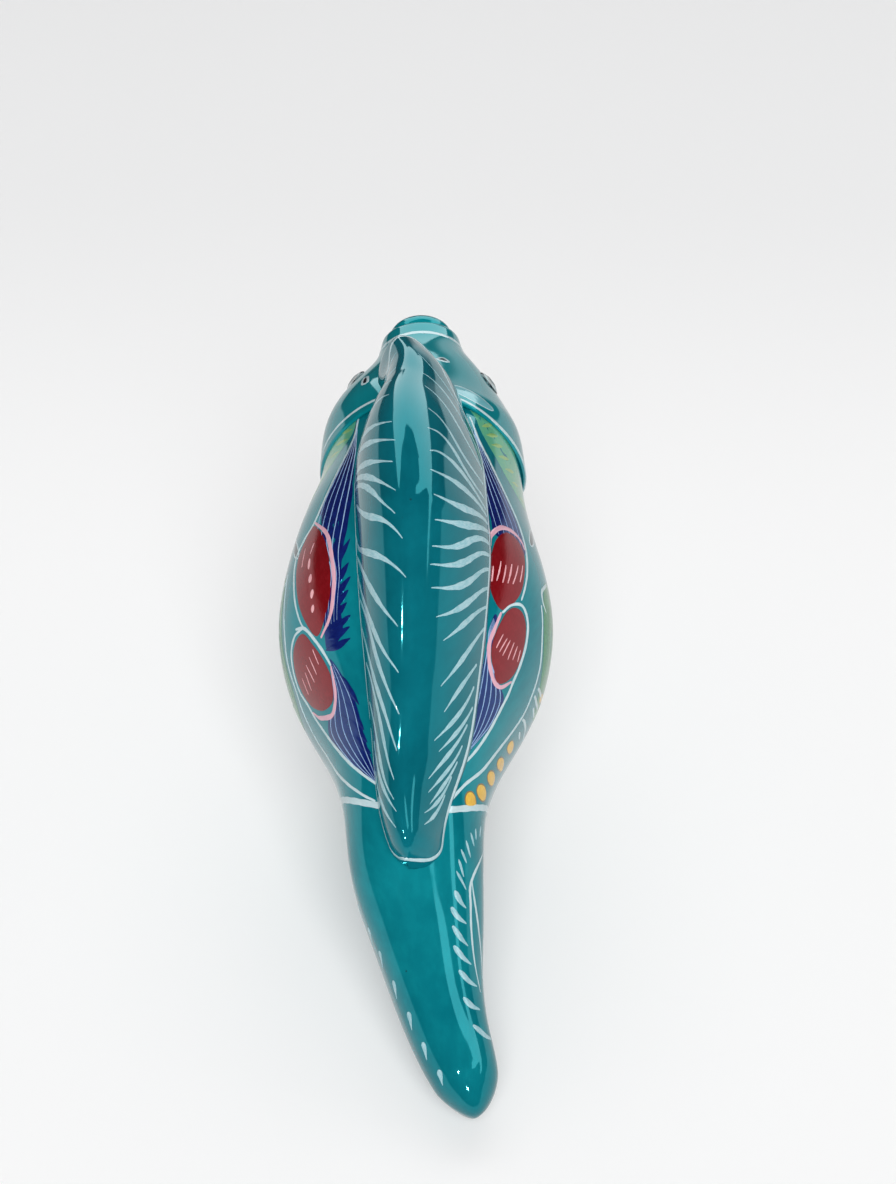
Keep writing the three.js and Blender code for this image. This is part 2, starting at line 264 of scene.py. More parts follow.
def maths(tree, operation, first, second, clamp=False):
    made = newNode(tree, "Math", operation=operation, use_clamp=clamp)
    join(tree, first, made.inputs[0])
    join(tree, second, made.inputs[1])
    return made.outputs[0]


def plus(tree, first, second, clamp=False):
    return maths(tree, "ADD", first, second, clamp)


def minus(tree, first, second):
    return maths(tree, "SUBTRACT", first, second)


def times(tree, first, second, clamp=False):
    return maths(tree, "MULTIPLY", first, second, clamp)


def mixColour(tree, share, first, second):
    made = newNode(tree, "Mix", data_type="RGBA")
    for slot, value in ((0, share), (6, first), (7, second)):
        join(tree, value, made.inputs[slot])
    return made.outputs[2]


def spread(tree, value, low, high):  # 0 below low, 1 above high
    made = newNode(tree, "MapRange", {"From Min": low, "From Max": high}, interpolation_type="SMOOTHSTEP")
    join(tree, value, made.inputs["Value"])
    return made.outputs["Result"]


def placeOn(tree, kind="Object"):
    return newNode(tree, "TexCoord").outputs[kind]


def splitOf(tree, place):
    split = newNode(tree, "SeparateXYZ")
    join(tree, place, split.inputs[0])
    return split.outputs


def objectNoise(tree, scale, detail=3, stretch=(1, 1, 1), rough=.5):
    mapping = newNode(tree, "Mapping", {"Scale": stretch})
    noise = newNode(tree, "TexNoise", {"Scale": scale, "Detail": detail, "Roughness": rough})
    join(tree, placeOn(tree), mapping.inputs["Vector"])
    join(tree, mapping.outputs["Vector"], noise.inputs["Vector"])
    return noise.outputs["Fac"]


def newGroup(name, inputs, outputs):
    tree = bpy.data.node_groups.new(name, "ShaderNodeTree")
    kinds = {True: "NodeSocketColor", False: "NodeSocketFloat"}
    for label, value in inputs.items():
        kind = kinds[isinstance(value, tuple)]
        tree.interface.new_socket(label, in_out="INPUT", socket_type=kind).default_value = value
    for label in outputs:
        tree.interface.new_socket(label, in_out="OUTPUT", socket_type=kinds[label == "Colour"])
    return tree, tree.nodes.new("NodeGroupInput").outputs, tree.nodes.new("NodeGroupOutput").inputs


def makeGlazeGroup():  # colour drift, brushed ground, pinholes and the faint swell of a fired glaze
    tree, given, result = newGroup("firedGlaze", {
        "Thin": (.02, .3, .33, 1), "Deep": (0, .15, .2, 1), "Drift": .35, "Gloss": .2},
        ["Colour", "Roughness", "Height"])
    cloud = objectNoise(tree, 34, 3)
    brushed = objectNoise(tree, 60, 4, (5, .5, 5), .6)
    swell = objectNoise(tree, 95, 2)
    speck = newNode(tree, "TexVoronoi", {"Scale": 210})
    join(tree, placeOn(tree), speck.inputs["Vector"])
    ring = minus(tree, 1, spread(tree, speck.outputs["Distance"], .03, .075))
    pin = times(tree, ring, spread(tree, objectNoise(tree, 46, 1), .6, .66))
    share = plus(tree, times(tree, spread(tree, cloud, .35, .68), .65),
                 times(tree, spread(tree, brushed, .35, .7), .35))
    colour = mixColour(tree, times(tree, share, given["Drift"]), given["Deep"], given["Thin"])
    colour = mixColour(tree, times(tree, pin, .7), colour, (.01, .02, .02, 1))
    join(tree, colour, result["Colour"])
    join(tree, plus(tree, given["Gloss"], times(tree, cloud, .06)), result["Roughness"])
    join(tree, minus(tree, swell, times(tree, pin, .8)), result["Height"])
    return tree


def makeFootGroup():  # the ground belly and the tail's tip are wiped bare, and above them the glaze darkens towards the floor, as pooled glaze and as painted shade
    tree, given, result = newGroup("wipedFootAndFloorShade", {"Level": .0005}, ["Bare", "PooledAndShaded"])
    ragged = times(tree, objectNoise(tree, 300, 3), .0008)
    level = minus(tree, minus(tree, splitOf(tree, placeOn(tree))["Z"], ragged), given["Level"])
    bare = minus(tree, 1, spread(tree, level, -.0002, .0001))
    # painted shade near the floor: share of the darkening, full at the foot and gone 22 mm above it
    near = minus(tree, 1, spread(tree, level, .0002, .022))
    join(tree, bare, result["Bare"])
    join(tree, times(tree, near, minus(tree, 1, bare)), result["PooledAndShaded"])
    return tree


def makeBrushGroup():  # thin and thick paint along a stroke, whose mesh gives along and across
    tree, given, result = newGroup("brushMarks", {
        "Full": (.8, .85, .85, 1), "Thinned": (.3, .6, .65, 1), "Dryness": .5}, ["Colour", "Load"])
    spot = newNode(tree, "CombineXYZ")
    for slot, label, scale in ((0, "strokeAlong", 3), (1, "strokeAcross", 2.2)):
        run = newNode(tree, "Attribute", attribute_name=label).outputs["Fac"]
        join(tree, times(tree, run, scale), spot.inputs[slot])
    hairs = newNode(tree, "TexNoise", {"Scale": 2, "Detail": 3})
    join(tree, spot.outputs[0], hairs.inputs["Vector"])
    cloud = objectNoise(tree, 420, 2)
    load = plus(tree, times(tree, spread(tree, hairs.outputs["Fac"], .3, .62), .6),
                times(tree, spread(tree, cloud, .3, .65), .4))
    share = times(tree, minus(tree, 1, load), given["Dryness"], True)
    join(tree, mixColour(tree, share, given["Full"], given["Thinned"]), result["Colour"])
    join(tree, load, result["Load"])
    return tree


glazeGroup, footGroup, brushGroup = makeGlazeGroup(), makeFootGroup(), makeBrushGroup()
coatGloss = {"IOR": 1.62, "Specular IOR Level": .85, "Coat Weight": .05, "Coat Roughness": .02,
             "Coat IOR": 1.5, "Specular Tint": (.12, .92, 1, 1)}


def newMaterial(name, values):
    material = bpy.data.materials.new(name)
    material.use_nodes = True
    shader = material.node_tree.nodes["Principled BSDF"]
    inputsOf(shader, values)
    return material, material.node_tree, shader.inputs


def placeGroup(tree, group, values):
    made = newNode(tree, "Group", node_tree=group)
    inputsOf(made, values)
    return made.outputs


def raised(tree, shader, height, strength, distance):
    bump = newNode(tree, "Bump", {"Strength": strength, "Distance": distance})
    join(tree, height, bump.inputs["Height"])
    join(tree, bump.outputs["Normal"], shader["Normal"])


def glazeMaterial(name, thin, deep, drift, foot=False):
    material, tree, shader = newMaterial(name, coatGloss)
    values = {"Thin": (*thin, 1), "Deep": (*deep, 1), "Drift": drift, "Gloss": .03}
    glaze = placeGroup(tree, glazeGroup, values)
    colour, rough = glaze["Colour"], glaze["Roughness"]
    if foot:
        wiped = placeGroup(tree, footGroup, {"Level": .0004})
        clay = mixColour(tree, objectNoise(tree, 500, 4), (.36, .16, .09, 1), (.56, .30, .18, 1))
        # painted shade and pooled glaze: the glaze turns to a deep dark teal towards the floor
        colour = mixColour(tree, times(tree, wiped["PooledAndShaded"], .85), colour, (0, .05, .07, 1))
        colour = mixColour(tree, wiped["Bare"], colour, clay)
        rough = plus(tree, rough, times(tree, wiped["Bare"], .8), True)
        coat = times(tree, minus(tree, 1, wiped["Bare"]), coatGloss["Coat Weight"])
        join(tree, coat, shader["Coat Weight"])
    join(tree, colour, shader["Base Color"])
    join(tree, rough, shader["Roughness"])
    raised(tree, shader, glaze["Height"], .25, .00006)
    return material


def paintMaterial(name, full, thinned, dryness, tint=(.6, .95, 1)):
    material, tree, shader = newMaterial(name, {**coatGloss, "Specular Tint": (*tint, 1)})
    values = {"Full": (*full, 1), "Thinned": (*thinned, 1), "Dryness": dryness}
    brush = placeGroup(tree, brushGroup, values)
    join(tree, brush["Colour"], shader["Base Color"])
    join(tree, plus(tree, times(tree, brush["Load"], .03), .04), shader["Roughness"])
    raised(tree, shader, brush["Load"], .2, .00004)
    return material


bodyGlaze = glazeMaterial("bodyGlaze", (.004, .215, .25), (.001, .13, .165), .8, foot=True)
finGlaze = glazeMaterial("finGlaze", (.003, .15, .19), (.001, .09, .12), .6)
headGlaze = glazeMaterial("headGlaze", (.003, .24, .27), (.001, .17, .2), .6)
whitePaint = paintMaterial("whiteSlipStroke", (.38, .56, .61), (.13, .39, .45), .8)
outlinePaint = paintMaterial("whiteOutline", (.54, .65, .68), (.34, .54, .58), .6)
redPaint = paintMaterial("redPetal", (.15, .002, .004), (.23, .009, .014), .6, (1, .45, .5))
pinkPaint = paintMaterial("pinkOutline", (.68, .38, .46), (.56, .28, .36), .6, (1, .8, .85))
rosePaint = paintMaterial("roseTick", (.8, .42, .45), (.55, .16, .18), .5, (1, .7, .7))
navyPaint = paintMaterial("navyFan", (.003, .006, .09), (.006, .025, .17), .6, (.3, .6, 1))
skyPaint = paintMaterial("skyHair", (.3, .45, .68), (.1, .2, .45), .6)
leafPaint = paintMaterial("greenLeaf", (.02, .16, .06), (.05, .26, .12), .8, (.3, 1, .6))
palePaint = paintMaterial("paleLeaf", (.12, .38, .2), (.06, .34, .26), .9, (.4, 1, .7))
darkPaint = paintMaterial("darkLeafTick", (.01, .14, .06), (.03, .22, .1), .6)
limePaint = paintMaterial("limeLeafTick", (.26, .42, .13), (.14, .36, .17), .7, (.8, 1, .5))
yellowPaint = paintMaterial("yellowSeed", (.8, .5, .05), (.55, .24, .01), .7, (1, .8, .4))
brownPaint = paintMaterial("brownEdge", (.22, .12, .01), (.1, .07, .02), .6)
blackPaint = paintMaterial("blackDot", (.004, .004, .006), (.01, .012, .02), .6)
# pale teal of a painted reflection on one cheek
reflectionPaint = paintMaterial("paintedReflectionTeal", (.16, .42, .47), (.1, .34, .39), .6)
eyeGlaze = glazeMaterial("eyeGlaze", (.62, .64, .63), (.42, .46, .47), .7)
print("materials made")


# Body, tail, head, fin

def ringOf(around):  # turns in radians, once round
    return np.arange(around) / around * 2 * np.pi


def makeTrunk():
    trunk = {"around": 144, "bodyRows": 130, "tailRows": 70, "tipRows": 14}
    turn = ringOf(trunk["around"])
    ring = jointPlace(turn)
    bodyRings = [trunkAt(ring * i / trunk["bodyRows"], turn) for i in range(trunk["bodyRows"] + 1)]
    tipFrom = 1 - figure["tipRound"]
    shares = [i / trunk["tailRows"] for i in range(trunk["tailRows"] + 1)]
    tailRings = [trunkAt(ring + (tipFrom - ring) * share, turn) for share in shares]
    for i in range(1, trunk["tipRows"]):
        angle = i / trunk["tipRows"] * math.pi / 2
        tailRings.append(trunkAt(np.full_like(turn, tipFrom + figure["tipRound"] * math.sin(angle)), turn))
    for points in bodyRings + tailRings:
        points[:, 2] = np.maximum(points[:, 2], 0)  # ground flat where it rests
    body = loftPiece("glazedBody", bodyRings, bodyGlaze, "body_glaze", 50)
    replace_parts(body, "body_shell_left", "body_shell_right")
    tail = loftPiece("glazedTail", tailRings, bodyGlaze, "tail_glaze", 50)
    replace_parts(tail, "tail_fin")


def makeHead():
    head = {"around": 120, "edgeRows": 8, "rows": 60, "tuckedIn": 3, "snout": (  # share of the end, reach
        (.97, .5), (.9, .9), (.8, 1), (.6, .9), (.42, .5), (.36, -.3), (.33, -1.6), (.3, -3.2))}
    turn = ringOf(head["around"])
    edge, lip = gill["edge"], gill["lip"]
    rings = [headRing(np.full_like(turn, edge * 1.5), turn, -lip - head["tuckedIn"])]
    for i in range(head["edgeRows"] + 1):
        angle = i / head["edgeRows"] * math.pi / 2
        place = np.full_like(turn, edge * (1 - math.cos(angle)))
        rings.append(headRing(place, turn, headSway(place, turn) - lip * (1 - math.sin(angle))))
    for i in range(1, head["rows"] + 1):
        rings.append(headAt(np.full_like(turn, edge + (1 - edge) * i / head["rows"]), turn))
    end = np.ones_like(turn)
    tangent = sectionAt(headTrack, end)[1]
    for share, reach in head["snout"]:
        rings.append(roundSection(headTrack, end, turn, 0, share) + tangent * reach)
    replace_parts(loftPiece("glazedHead", rings, headGlaze, "head_glaze", 50), "head_cap")


def makeFin():
    fin = {"rows": 150, "around": 72, "trim": .006}
    rings = []
    turn = np.linspace(0, np.pi, fin["around"])
    for i in range(fin["rows"] + 1):
        run = fin["trim"] + (1 - 2 * fin["trim"]) * i / fin["rows"]
        t = .5 - .5 * math.cos(math.pi * run)
        top = finAt(np.full_like(turn, t), turn)
        seat = finSection(np.array([t]))[3][0] * finShape["seat"]
        rings.append(np.concatenate([top, [top[-1] - seat, top[0] - seat]]))
    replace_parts(loftPiece("glazedFin", rings, finGlaze, "fin_glaze", 50), "dorsal_fin")


def makeLips():
    lip = {"radius": 7, "middle": 3.5, "corner": 2.3, "clear": .05, "forward": .45, "rows": 64, "around": 28,
           "endRun": 9, "endStart": .35, "tipRun": 60, "tipStart": .6}
    centre, tangent, side, up = (rows[0] for rows in sectionAt(headTrack, np.array([1.]))[:4])
    angle = -ringOf(lip["around"])
    for name, node, start in (("upperLipRoll", "upper_lip", 0), ("lowerLipRoll", "lower_lip", math.pi)):
        rings = []
        for i in range(lip["rows"] + 1):
            t = .5 - .5 * math.cos(math.pi * i / lip["rows"])
            near = min(t, 1 - t)
            turn = lip["clear"] + (math.pi - 2 * lip["clear"]) * t + start
            full = lip["corner"] + (lip["middle"] - lip["corner"]) * math.sin(math.pi * t)
            end = min(1, near * lip["endRun"] + lip["endStart"])
            thick = full * math.sqrt(1 - (1 - end) ** 2) * min(1, lip["tipStart"] + near * lip["tipRun"])
            out = side * math.cos(turn) + up * math.sin(turn)
            spots = centre + tangent * lip["middle"] * lip["forward"]
            spots = spots + np.outer(np.sin(angle) * thick, tangent)
            rings.append(spots + np.outer(lip["radius"] + thick * np.cos(angle), out))
        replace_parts(loftPiece(name, rings, headGlaze, "lip_glaze", 60), node)


def makeEyes():  # each eye a flattened ball with a painted rim, a pupil and a small white dot painted as a glint of light
    eye = {"place": .545, "turn": math.radians(22), "radius": 4.1, "bulge": 1.7, "sink": .9, "around": 64,
           "rows": 28, "forward": .6, "rim": (1.5, 1.06, 8), "pupil": (.5, 8), "dab": (.12, 4),
           "paintedGlintAt": (-.55, .8)}  # rim, pupil and dab (the painted glint): angles from the middle and steps
    section = sectionAt(headTrack, np.array([eye["place"]]))
    centre, tangent, side, up, half, above = (rows[0] for rows in section[:6])
    around = ringOf(eye["around"])
    c, s = math.cos(eye["turn"]), math.sin(eye["turn"])
    for hand, sign in (("left", 1), ("right", -1)):
        outward = unitRows([side * sign * c / half + up * s / above])[0]
        outward = unitRows([outward + tangent * eye["forward"]])[0]
        upward = unitRows([up - outward * up.dot(outward)])[0]
        sideways = np.cross(upward, outward)
        spot = centre + side * sign * (half * c - eye["sink"]) + up * above * s

        def ballRing(angle, grow, middle=(0, 0)):
            radius = eye["radius"] + grow
            flat = radius * math.sin(angle)
            a, b = flat * np.cos(around) + middle[0], flat * np.sin(around) + middle[1]
            high = (eye["bulge"] + grow) * np.sqrt(np.maximum(0, 1 - (a * a + b * b) / radius ** 2))
            high = high if angle <= math.pi / 2 else -high
            return spot + np.outer(a, sideways) + np.outer(b, upward) + np.outer(high, outward)

        def rowsTo(angle, steps, sunk, raised, middle=(0, 0)):  # from a sunk edge to nearly the middle
            return [ballRing(angle, sunk, middle)] + [
                ballRing(angle * (1 - i / steps), raised, middle) for i in range(steps)]

        ball = [ballRing(math.pi * (1 - i / eye["rows"]), 0) for i in range(1, eye["rows"])]
        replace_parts(loftPiece(hand + "EyeBall", ball, eyeGlaze, "eye_glaze", 60), "eye_" + hand)
        outer, inner, steps = eye["rim"]
        rim = [ballRing(angle, -.25) for angle in (outer, inner)]
        rim += [ballRing(outer - (outer - inner) * i / steps, .05) for i in range(steps + 1)]
        meshPiece(hand + "EyeRim", *closedBand(rim), blackPaint, "eye_glaze", 60)
        loftPiece(hand + "EyePupil", rowsTo(*eye["pupil"], -.25, .06), blackPaint, "eye_glaze", 60)
        # painted highlight: a small white dot standing for a glint of light on the eye
        dab = rowsTo(*eye["dab"], -.1, .1, eye["paintedGlintAt"])
        loftPiece(hand + "EyePaintedGlint", dab, outlinePaint, "eye_glaze", 60)


makeTrunk()
makeHead()
makeFin()
makeLips()
makeEyes()
print("body, tail, head, fin, lips and eyes made")


# Painted marks: thin closed slabs laid on the glazed forms; a spot is (place, turn in degrees)

def runAlong(steps):  # length so far at each point, from the steps between them
    return np.concatenate([[0], np.cumsum(np.linalg.norm(steps, axis=1))])


def curveThrough(controls, count, closed=False):
    controls = np.asarray(controls, float)
    ends = ([controls[-1]], controls[:2]) if closed else (
        [2 * controls[0] - controls[1]], [2 * controls[-1] - controls[-2]])
    padded = np.concatenate([ends[0], controls, ends[1]])
    spans = len(controls) if closed else len(controls) - 1
    t = np.linspace(0, spans, count, endpoint=not closed)
    i = np.minimum(t.astype(int), spans - 1)
    f = (t - i)[:, None]
    a, b, c, d = (padded[i + k] for k in range(4))
    return b + .5 * f * (c - a + f * (2 * a - 5 * b + 4 * c - d + f * (3 * (b - c) + d - a)))


def easedThrough(controls, count=9):  # a smooth sweep near the controls, as one movement of the brush
    controls = np.asarray(controls, float)
    run = runAlong(np.diff(controls, axis=0) * [200, .26])  # millimetres for a unit of place and a degree
    degree = 3 if len(controls) > 4 else 2
    spots = np.linspace(0, run[-1], count)
    return np.stack([np.polyval(np.polyfit(run, row, degree), spots) for row in controls.T], 1)


def frameOn(surface, spots):  # points, outward normals and the surface's two rates
    step = .0015
    place, turn = spots[:, 0], spots[:, 1]
    ahead = (surface(place + step, turn) - surface(place - step, turn)) / (2 * step)
    around = (surface(place, turn + step) - surface(place, turn - step)) / (2 * step)
    normal = np.cross(around, ahead)
    return surface(place, turn), unitRows(normal), ahead, around


def shiftOn(surface, spots, offset):  # spots moved along the surface by an offset in millimetres
    ahead, around = frameOn(surface, spots)[2:]
    aa, ab, bb = (ahead * ahead).sum(1), (ahead * around).sum(1), (around * around).sum(1)
    u, v = (ahead * offset).sum(1), (around * offset).sum(1)
    part = aa * bb - ab * ab
    return spots + np.stack([(bb * u - ab * v) / part, (aa * v - ab * u) / part], 1)


brush = {"rowStep": .7, "leastRows": 10, "mostRows": 400, "thinnest": .04, "uneven": .07, "sunk": .3,
         "rings": 7, "alongScale": 8, "acrossScale": 1.2}


def stroke(surface, spots, width, lift, profile=(1, 1), looped=False, cells=7):
    spots = np.asarray(spots, float)
    path = curveThrough(spots, (len(spots) - 1) * 12 + 1)
    path[:, 1] = np.radians(path[:, 1])
    run = runAlong(np.diff(surface(path[:, 0], path[:, 1]), axis=0))
    rows = int(np.clip(run[-1] / brush["rowStep"], brush["leastRows"], brush["mostRows"]))
    u = np.linspace(0, 1, rows + 1)
    along = run[-1] * (u if looped else .5 - .5 * np.cos(np.pi * u))
    along = along[:-1] if looped else along
    path = np.stack([np.interp(along, run, path[:, k]) for k in (0, 1)], 1)
    wide = curveThrough(np.array(profile, float)[:, None], 61)[:, 0]
    wide = np.interp(along / run[-1], np.linspace(0, 1, len(wide)), wide)
    half = width / 2 * np.maximum(brush["thinnest"], wide)
    half = half * (1 + brush["uneven"] * np.sin(along * 1.3 + spots[0, 0] * 90 + spots[0, 1]))
    if not looped:
        ends = np.clip(np.minimum(along, run[-1] - along) / half, .1, 1)
        half = half * np.sqrt(1 - (1 - ends) ** 2)
    here, normal = frameOn(surface, path)[:2]
    forward = unitRows(np.roll(here, -1, 0) - np.roll(here, 1, 0) if looped else np.gradient(here, axis=0))
    left = np.cross(normal, forward)
    columns, across = [], []
    for v in [*np.linspace(1, -1, cells), -1, 1]:
        moved = shiftOn(surface, path, left * (half * v)[:, None])
        spot, out = frameOn(surface, moved)[:2]
        high = lift * (1 - .5 * v ** 4) if len(columns) < cells else -brush["sunk"]
        columns.append(spot + out * high)
        across.append(half * v)
    rings = np.stack(columns, 1)
    points, faces = closedBand(rings) if looped else closedLoft(rings)
    along = np.repeat(along / brush["alongScale"], cells + 2)
    across = np.stack(across, 1).ravel() / brush["acrossScale"]
    spare = len(points) - len(along)
    return points, faces, np.append(along, np.zeros(spare)), np.append(across, np.zeros(spare))


def laidOut(surface, place, turn, corners, swing=0):  # corners in millimetres about a spot, turned by swing
    s, c = math.sin(math.radians(swing)), math.cos(math.radians(swing))
    spots = np.array([(place, math.radians(turn))] * len(corners))
    ahead, around = (unitRows(rate) for rate in frameOn(surface, spots)[2:])
    a, b = np.array(corners, float).T[:, :, None]
    moved = shiftOn(surface, spots, ahead * (a * c - b * s) + around * (a * s + b * c))
    return np.stack([moved[:, 0], np.degrees(moved[:, 1])], 1)


def ovalCorners(high, wide):
    return [(high * math.cos(k * math.pi / 4), wide * math.sin(k * math.pi / 4)) for k in range(8)]


def blob(surface, outline, lift, grow=0):
    edge = curveThrough(outline, 96, True)
    edge[:, 1] = np.radians(edge[:, 1])
    after = np.roll(edge, -1, 0)
    if (edge[:, 1] * after[:, 0] - after[:, 1] * edge[:, 0]).sum() < 0:
        edge = edge[::-1]
    if grow:
        here, normal = frameOn(surface, edge)[:2]
        forward = unitRows(np.roll(here, -1, 0) - np.roll(here, 1, 0))
        edge = shiftOn(surface, edge, np.cross(forward, normal) * grow)
    middle = edge.mean(0)
    rates = [np.linalg.norm(rate) for rate in frameOn(surface, middle[None])[2:]]
    rings, along, across = [], [], []
    shares = [math.cos(math.pi / 2 * i / brush["rings"]) for i in range(brush["rings"])]
    for k, share in enumerate([1, *shares]):
        spots = middle + (edge - middle) * share
        here, out = frameOn(surface, spots)[:2]
        rings.append(here + out * (-brush["sunk"] if k == 0 else lift * (1 - .45 * share ** 8)))
        along.append((spots[:, 0] - middle[0]) * rates[0] / brush["alongScale"])
        across.append((spots[:, 1] - middle[1]) * rates[1] / brush["acrossScale"])
    points, faces = closedLoft(rings)
    return points, faces, np.append(np.concatenate(along), [0, 0]), np.append(np.concatenate(across), [0, 0])


def paintPiece(name, slot, material, marks):
    points, faces, along, across = [], [], [], []
    start = 0
    for k, (markPoints, markFaces, markAlong, markAcross) in enumerate(marks):
        points.append(markPoints)
        faces += [tuple(corner + start for corner in face) for face in markFaces]
        along.append(markAlong + k * 3.7)
        across.append(markAcross + k * 1.9)
        start += len(markPoints)
    piece = meshPiece(name, np.concatenate(points), faces, material, slot, 50)
    for label, values in (("strokeAlong", along), ("strokeAcross", across)):
        layer = piece.data.attributes.new(label, "FLOAT", "POINT")
        layer.data.foreach_set("value", np.concatenate(values).astype(np.float32))
    return piece


feather = (.12, .5, 1, .85, .6, .5)
leafy = (.1, .6, 1, 1, .7, .15)
drop = (.9, 1, .75, .4, .1)
hair = (.3, 1, 1, .8, .3)
comma = (.7, 1, .9, .3)
onFin, onHead = ("fin_glaze", finAt), ("head_glaze", headAt)
onBody, onTail = ("body_glaze", trunkAt), ("tail_glaze", trunkAt)


def paintStrokes(name, ground, paint, paths, width, lift, profile=(1, 1), **more):
    slot, surface = ground
    paintPiece(name, slot, paint, [stroke(surface, spots, width, lift, profile, **more) for spots in paths])


def paintBlobs(name, ground, paint, outlines, lift, grow=0):
    slot, surface = ground
    paintPiece(name, slot, paint, [blob(surface, spots, lift, grow) for spots in outlines])


def paintFin():
    fin = {"right": [
      [.3795, [(.1, 78), (.125, 60), (.145, 46), (.167, 28), (.202, 5)]],
      [1.375, [(.172, 71), (.19, 46), (.206, 30), (.246, 16), (.252, 5)]],
      [1.43, [(.222, 68), (.239, 50), (.263, 36), (.29, 25), (.3, 6)]],
      [1.485, [(.29, 66), (.298, 53), (.318, 44), (.335, 33), (.338, 7)]],
      [1.705, [(.336, 68), (.333, 56), (.346, 44), (.366, 32), (.372, 8)]],
      [1.815, [(.382, 68), (.373, 56), (.379, 42), (.385, 30), (.395, 7)]],
      [1.925, [(.425, 69), (.421, 54), (.419, 39), (.412, 22), (.41, 6)]],
      [2.035, [(.489, 67), (.486, 55), (.473, 40), (.448, 24), (.425, 5)]],
      [2.035, [(.561, 66), (.55, 54), (.517, 39), (.475, 20), (.445, 5)]],
      [2.035, [(.613, 67), (.597, 50), (.542, 32), (.5, 18), (.472, 5)]],
      [1.925, [(.642, 68), (.628, 51), (.586, 32), (.535, 17), (.502, 5)]],
      [1.925, [(.672, 66), (.66, 50), (.62, 30), (.575, 16), (.535, 4)]],
      [1.815, [(.703, 60), (.69, 46), (.655, 32), (.615, 16), (.575, 4)]],
      [1.595, [(.724, 51), (.707, 40), (.676, 29), (.645, 16), (.61, 4)]],
      [1.595, [(.776, 50), (.757, 40), (.73, 31), (.69, 17), (.645, 4)]],
      [1.485, [(.802, 43), (.784, 35), (.748, 24), (.7055, 9)]],
      [1.485, [(.843, 50), (.826, 38), (.798, 29), (.735, 9)]],
      [1.375, [(.853, 41), (.829, 29), (.799, 19), (.76, 7)]],
      [1.375, [(.894, 48), (.872, 35), (.839, 26), (.789, 11)]],
      [1.265, [(.912, 45), (.8885, 31), (.858, 21), (.82, 12)]],
      [1.265, [(.926, 40), (.901, 27), (.875, 19), (.845, 13)]],
      [1.155, [(.9405, 48), (.927, 33), (.904, 22), (.87, 15)]],
      [1.155, [(.956, 48), (.943, 33), (.924, 23), (.9, 17)]]],
     "left": [
      [.715, [(.077, 118), (.082, 132), (.1, 148), (.125, 168)]],
      [1.375, [(.14, 114), (.143, 128), (.155, 145), (.175, 170)]],
      [1.485, [(.205, 112), (.198, 126), (.205, 145), (.22, 171)]],
      [1.595, [(.261, 110), (.25, 124), (.25, 142), (.262, 172)]],
      [1.705, [(.331, 105), (.321, 119), (.312, 133), (.295, 154), (.29, 173)]],
      [1.815, [(.368, 103), (.353, 119), (.34, 135), (.314, 159), (.305, 174)]],
      [1.815, [(.41, 108), (.39, 123), (.38, 135), (.351, 155), (.335, 174)]],
      [1.705, [(.485, 106), (.44, 122), (.405, 138), (.365, 157), (.345, 172)]],
      [1.705, [(.555, 107), (.484, 124), (.422, 141), (.375, 160), (.36, 172)]],
      [1.815, [(.608, 97), (.572, 118), (.47, 145), (.405, 167)]],
      [1.925, [(.666, 94), (.626, 124), (.5495, 153), (.455, 175)]],
      [2.035, [(.722, 105), (.698, 121), (.658, 138), (.574, 160), (.5, 176)]],
      [2.035, [(.773, 105), (.7405, 125), (.7, 142), (.627, 161), (.54, 177)]],
      [1.925, [(.821, 103), (.789, 121), (.738, 138), (.6635, 157), (.59, 177)]],
      [1.815, [(.867, 103), (.83, 121), (.776, 140), (.694, 163), (.64, 176)]],
      [1.595, [(.903, 107), (.882, 118), (.858, 127), (.79, 145), (.708, 168)]],
      [1.485, [(.928, 110), (.907, 123), (.882, 137), (.838, 148), (.76, 168)]],
      [1.375, [(.943, 107), (.9225, 125), (.894, 140), (.82, 162)]],
      [1.265, [(.961, 117), (.943, 132), (.917, 148), (.86, 166)]]],
     "foot": [(.0305, 85), (.031, 72), (.036, 62), (.058, 51), (.082, 44), (.125, 32), (.165, 17),
      (.205, 5), (.26, 3), (.4, 3), (.5, 3), (.6, 3), (.7, 3), (.8, 3), (.88, 3), (.94, 3), (.972, 3),
      (.982, 5), (.988, 9), (.992, 16), (.9945, 30), (.9955, 50), (.996, 75), (.9955, 95), (.9945, 118),
      (.992, 140), (.988, 158), (.981, 168), (.97, 173), (.94, 176), (.88, 177), (.8, 177), (.7, 177),
      (.6, 177), (.5, 177), (.4, 177), (.3, 177), (.22, 176), (.16, 168), (.11, 152), (.07, 136),
      (.045, 122), (.034, 108), (.0305, 96), (.0305, 85)]}
    for side in ("right", "left"):
        marks = [stroke(finAt, easedThrough(spots), width, .05, feather) for width, spots in fin[side]]
        paintPiece("finFeathers" + side.title(), "fin_glaze", whitePaint, marks)
    paintStrokes("finFootLine", onFin, outlinePaint, [fin["foot"]], 1.15, .07, looped=True)


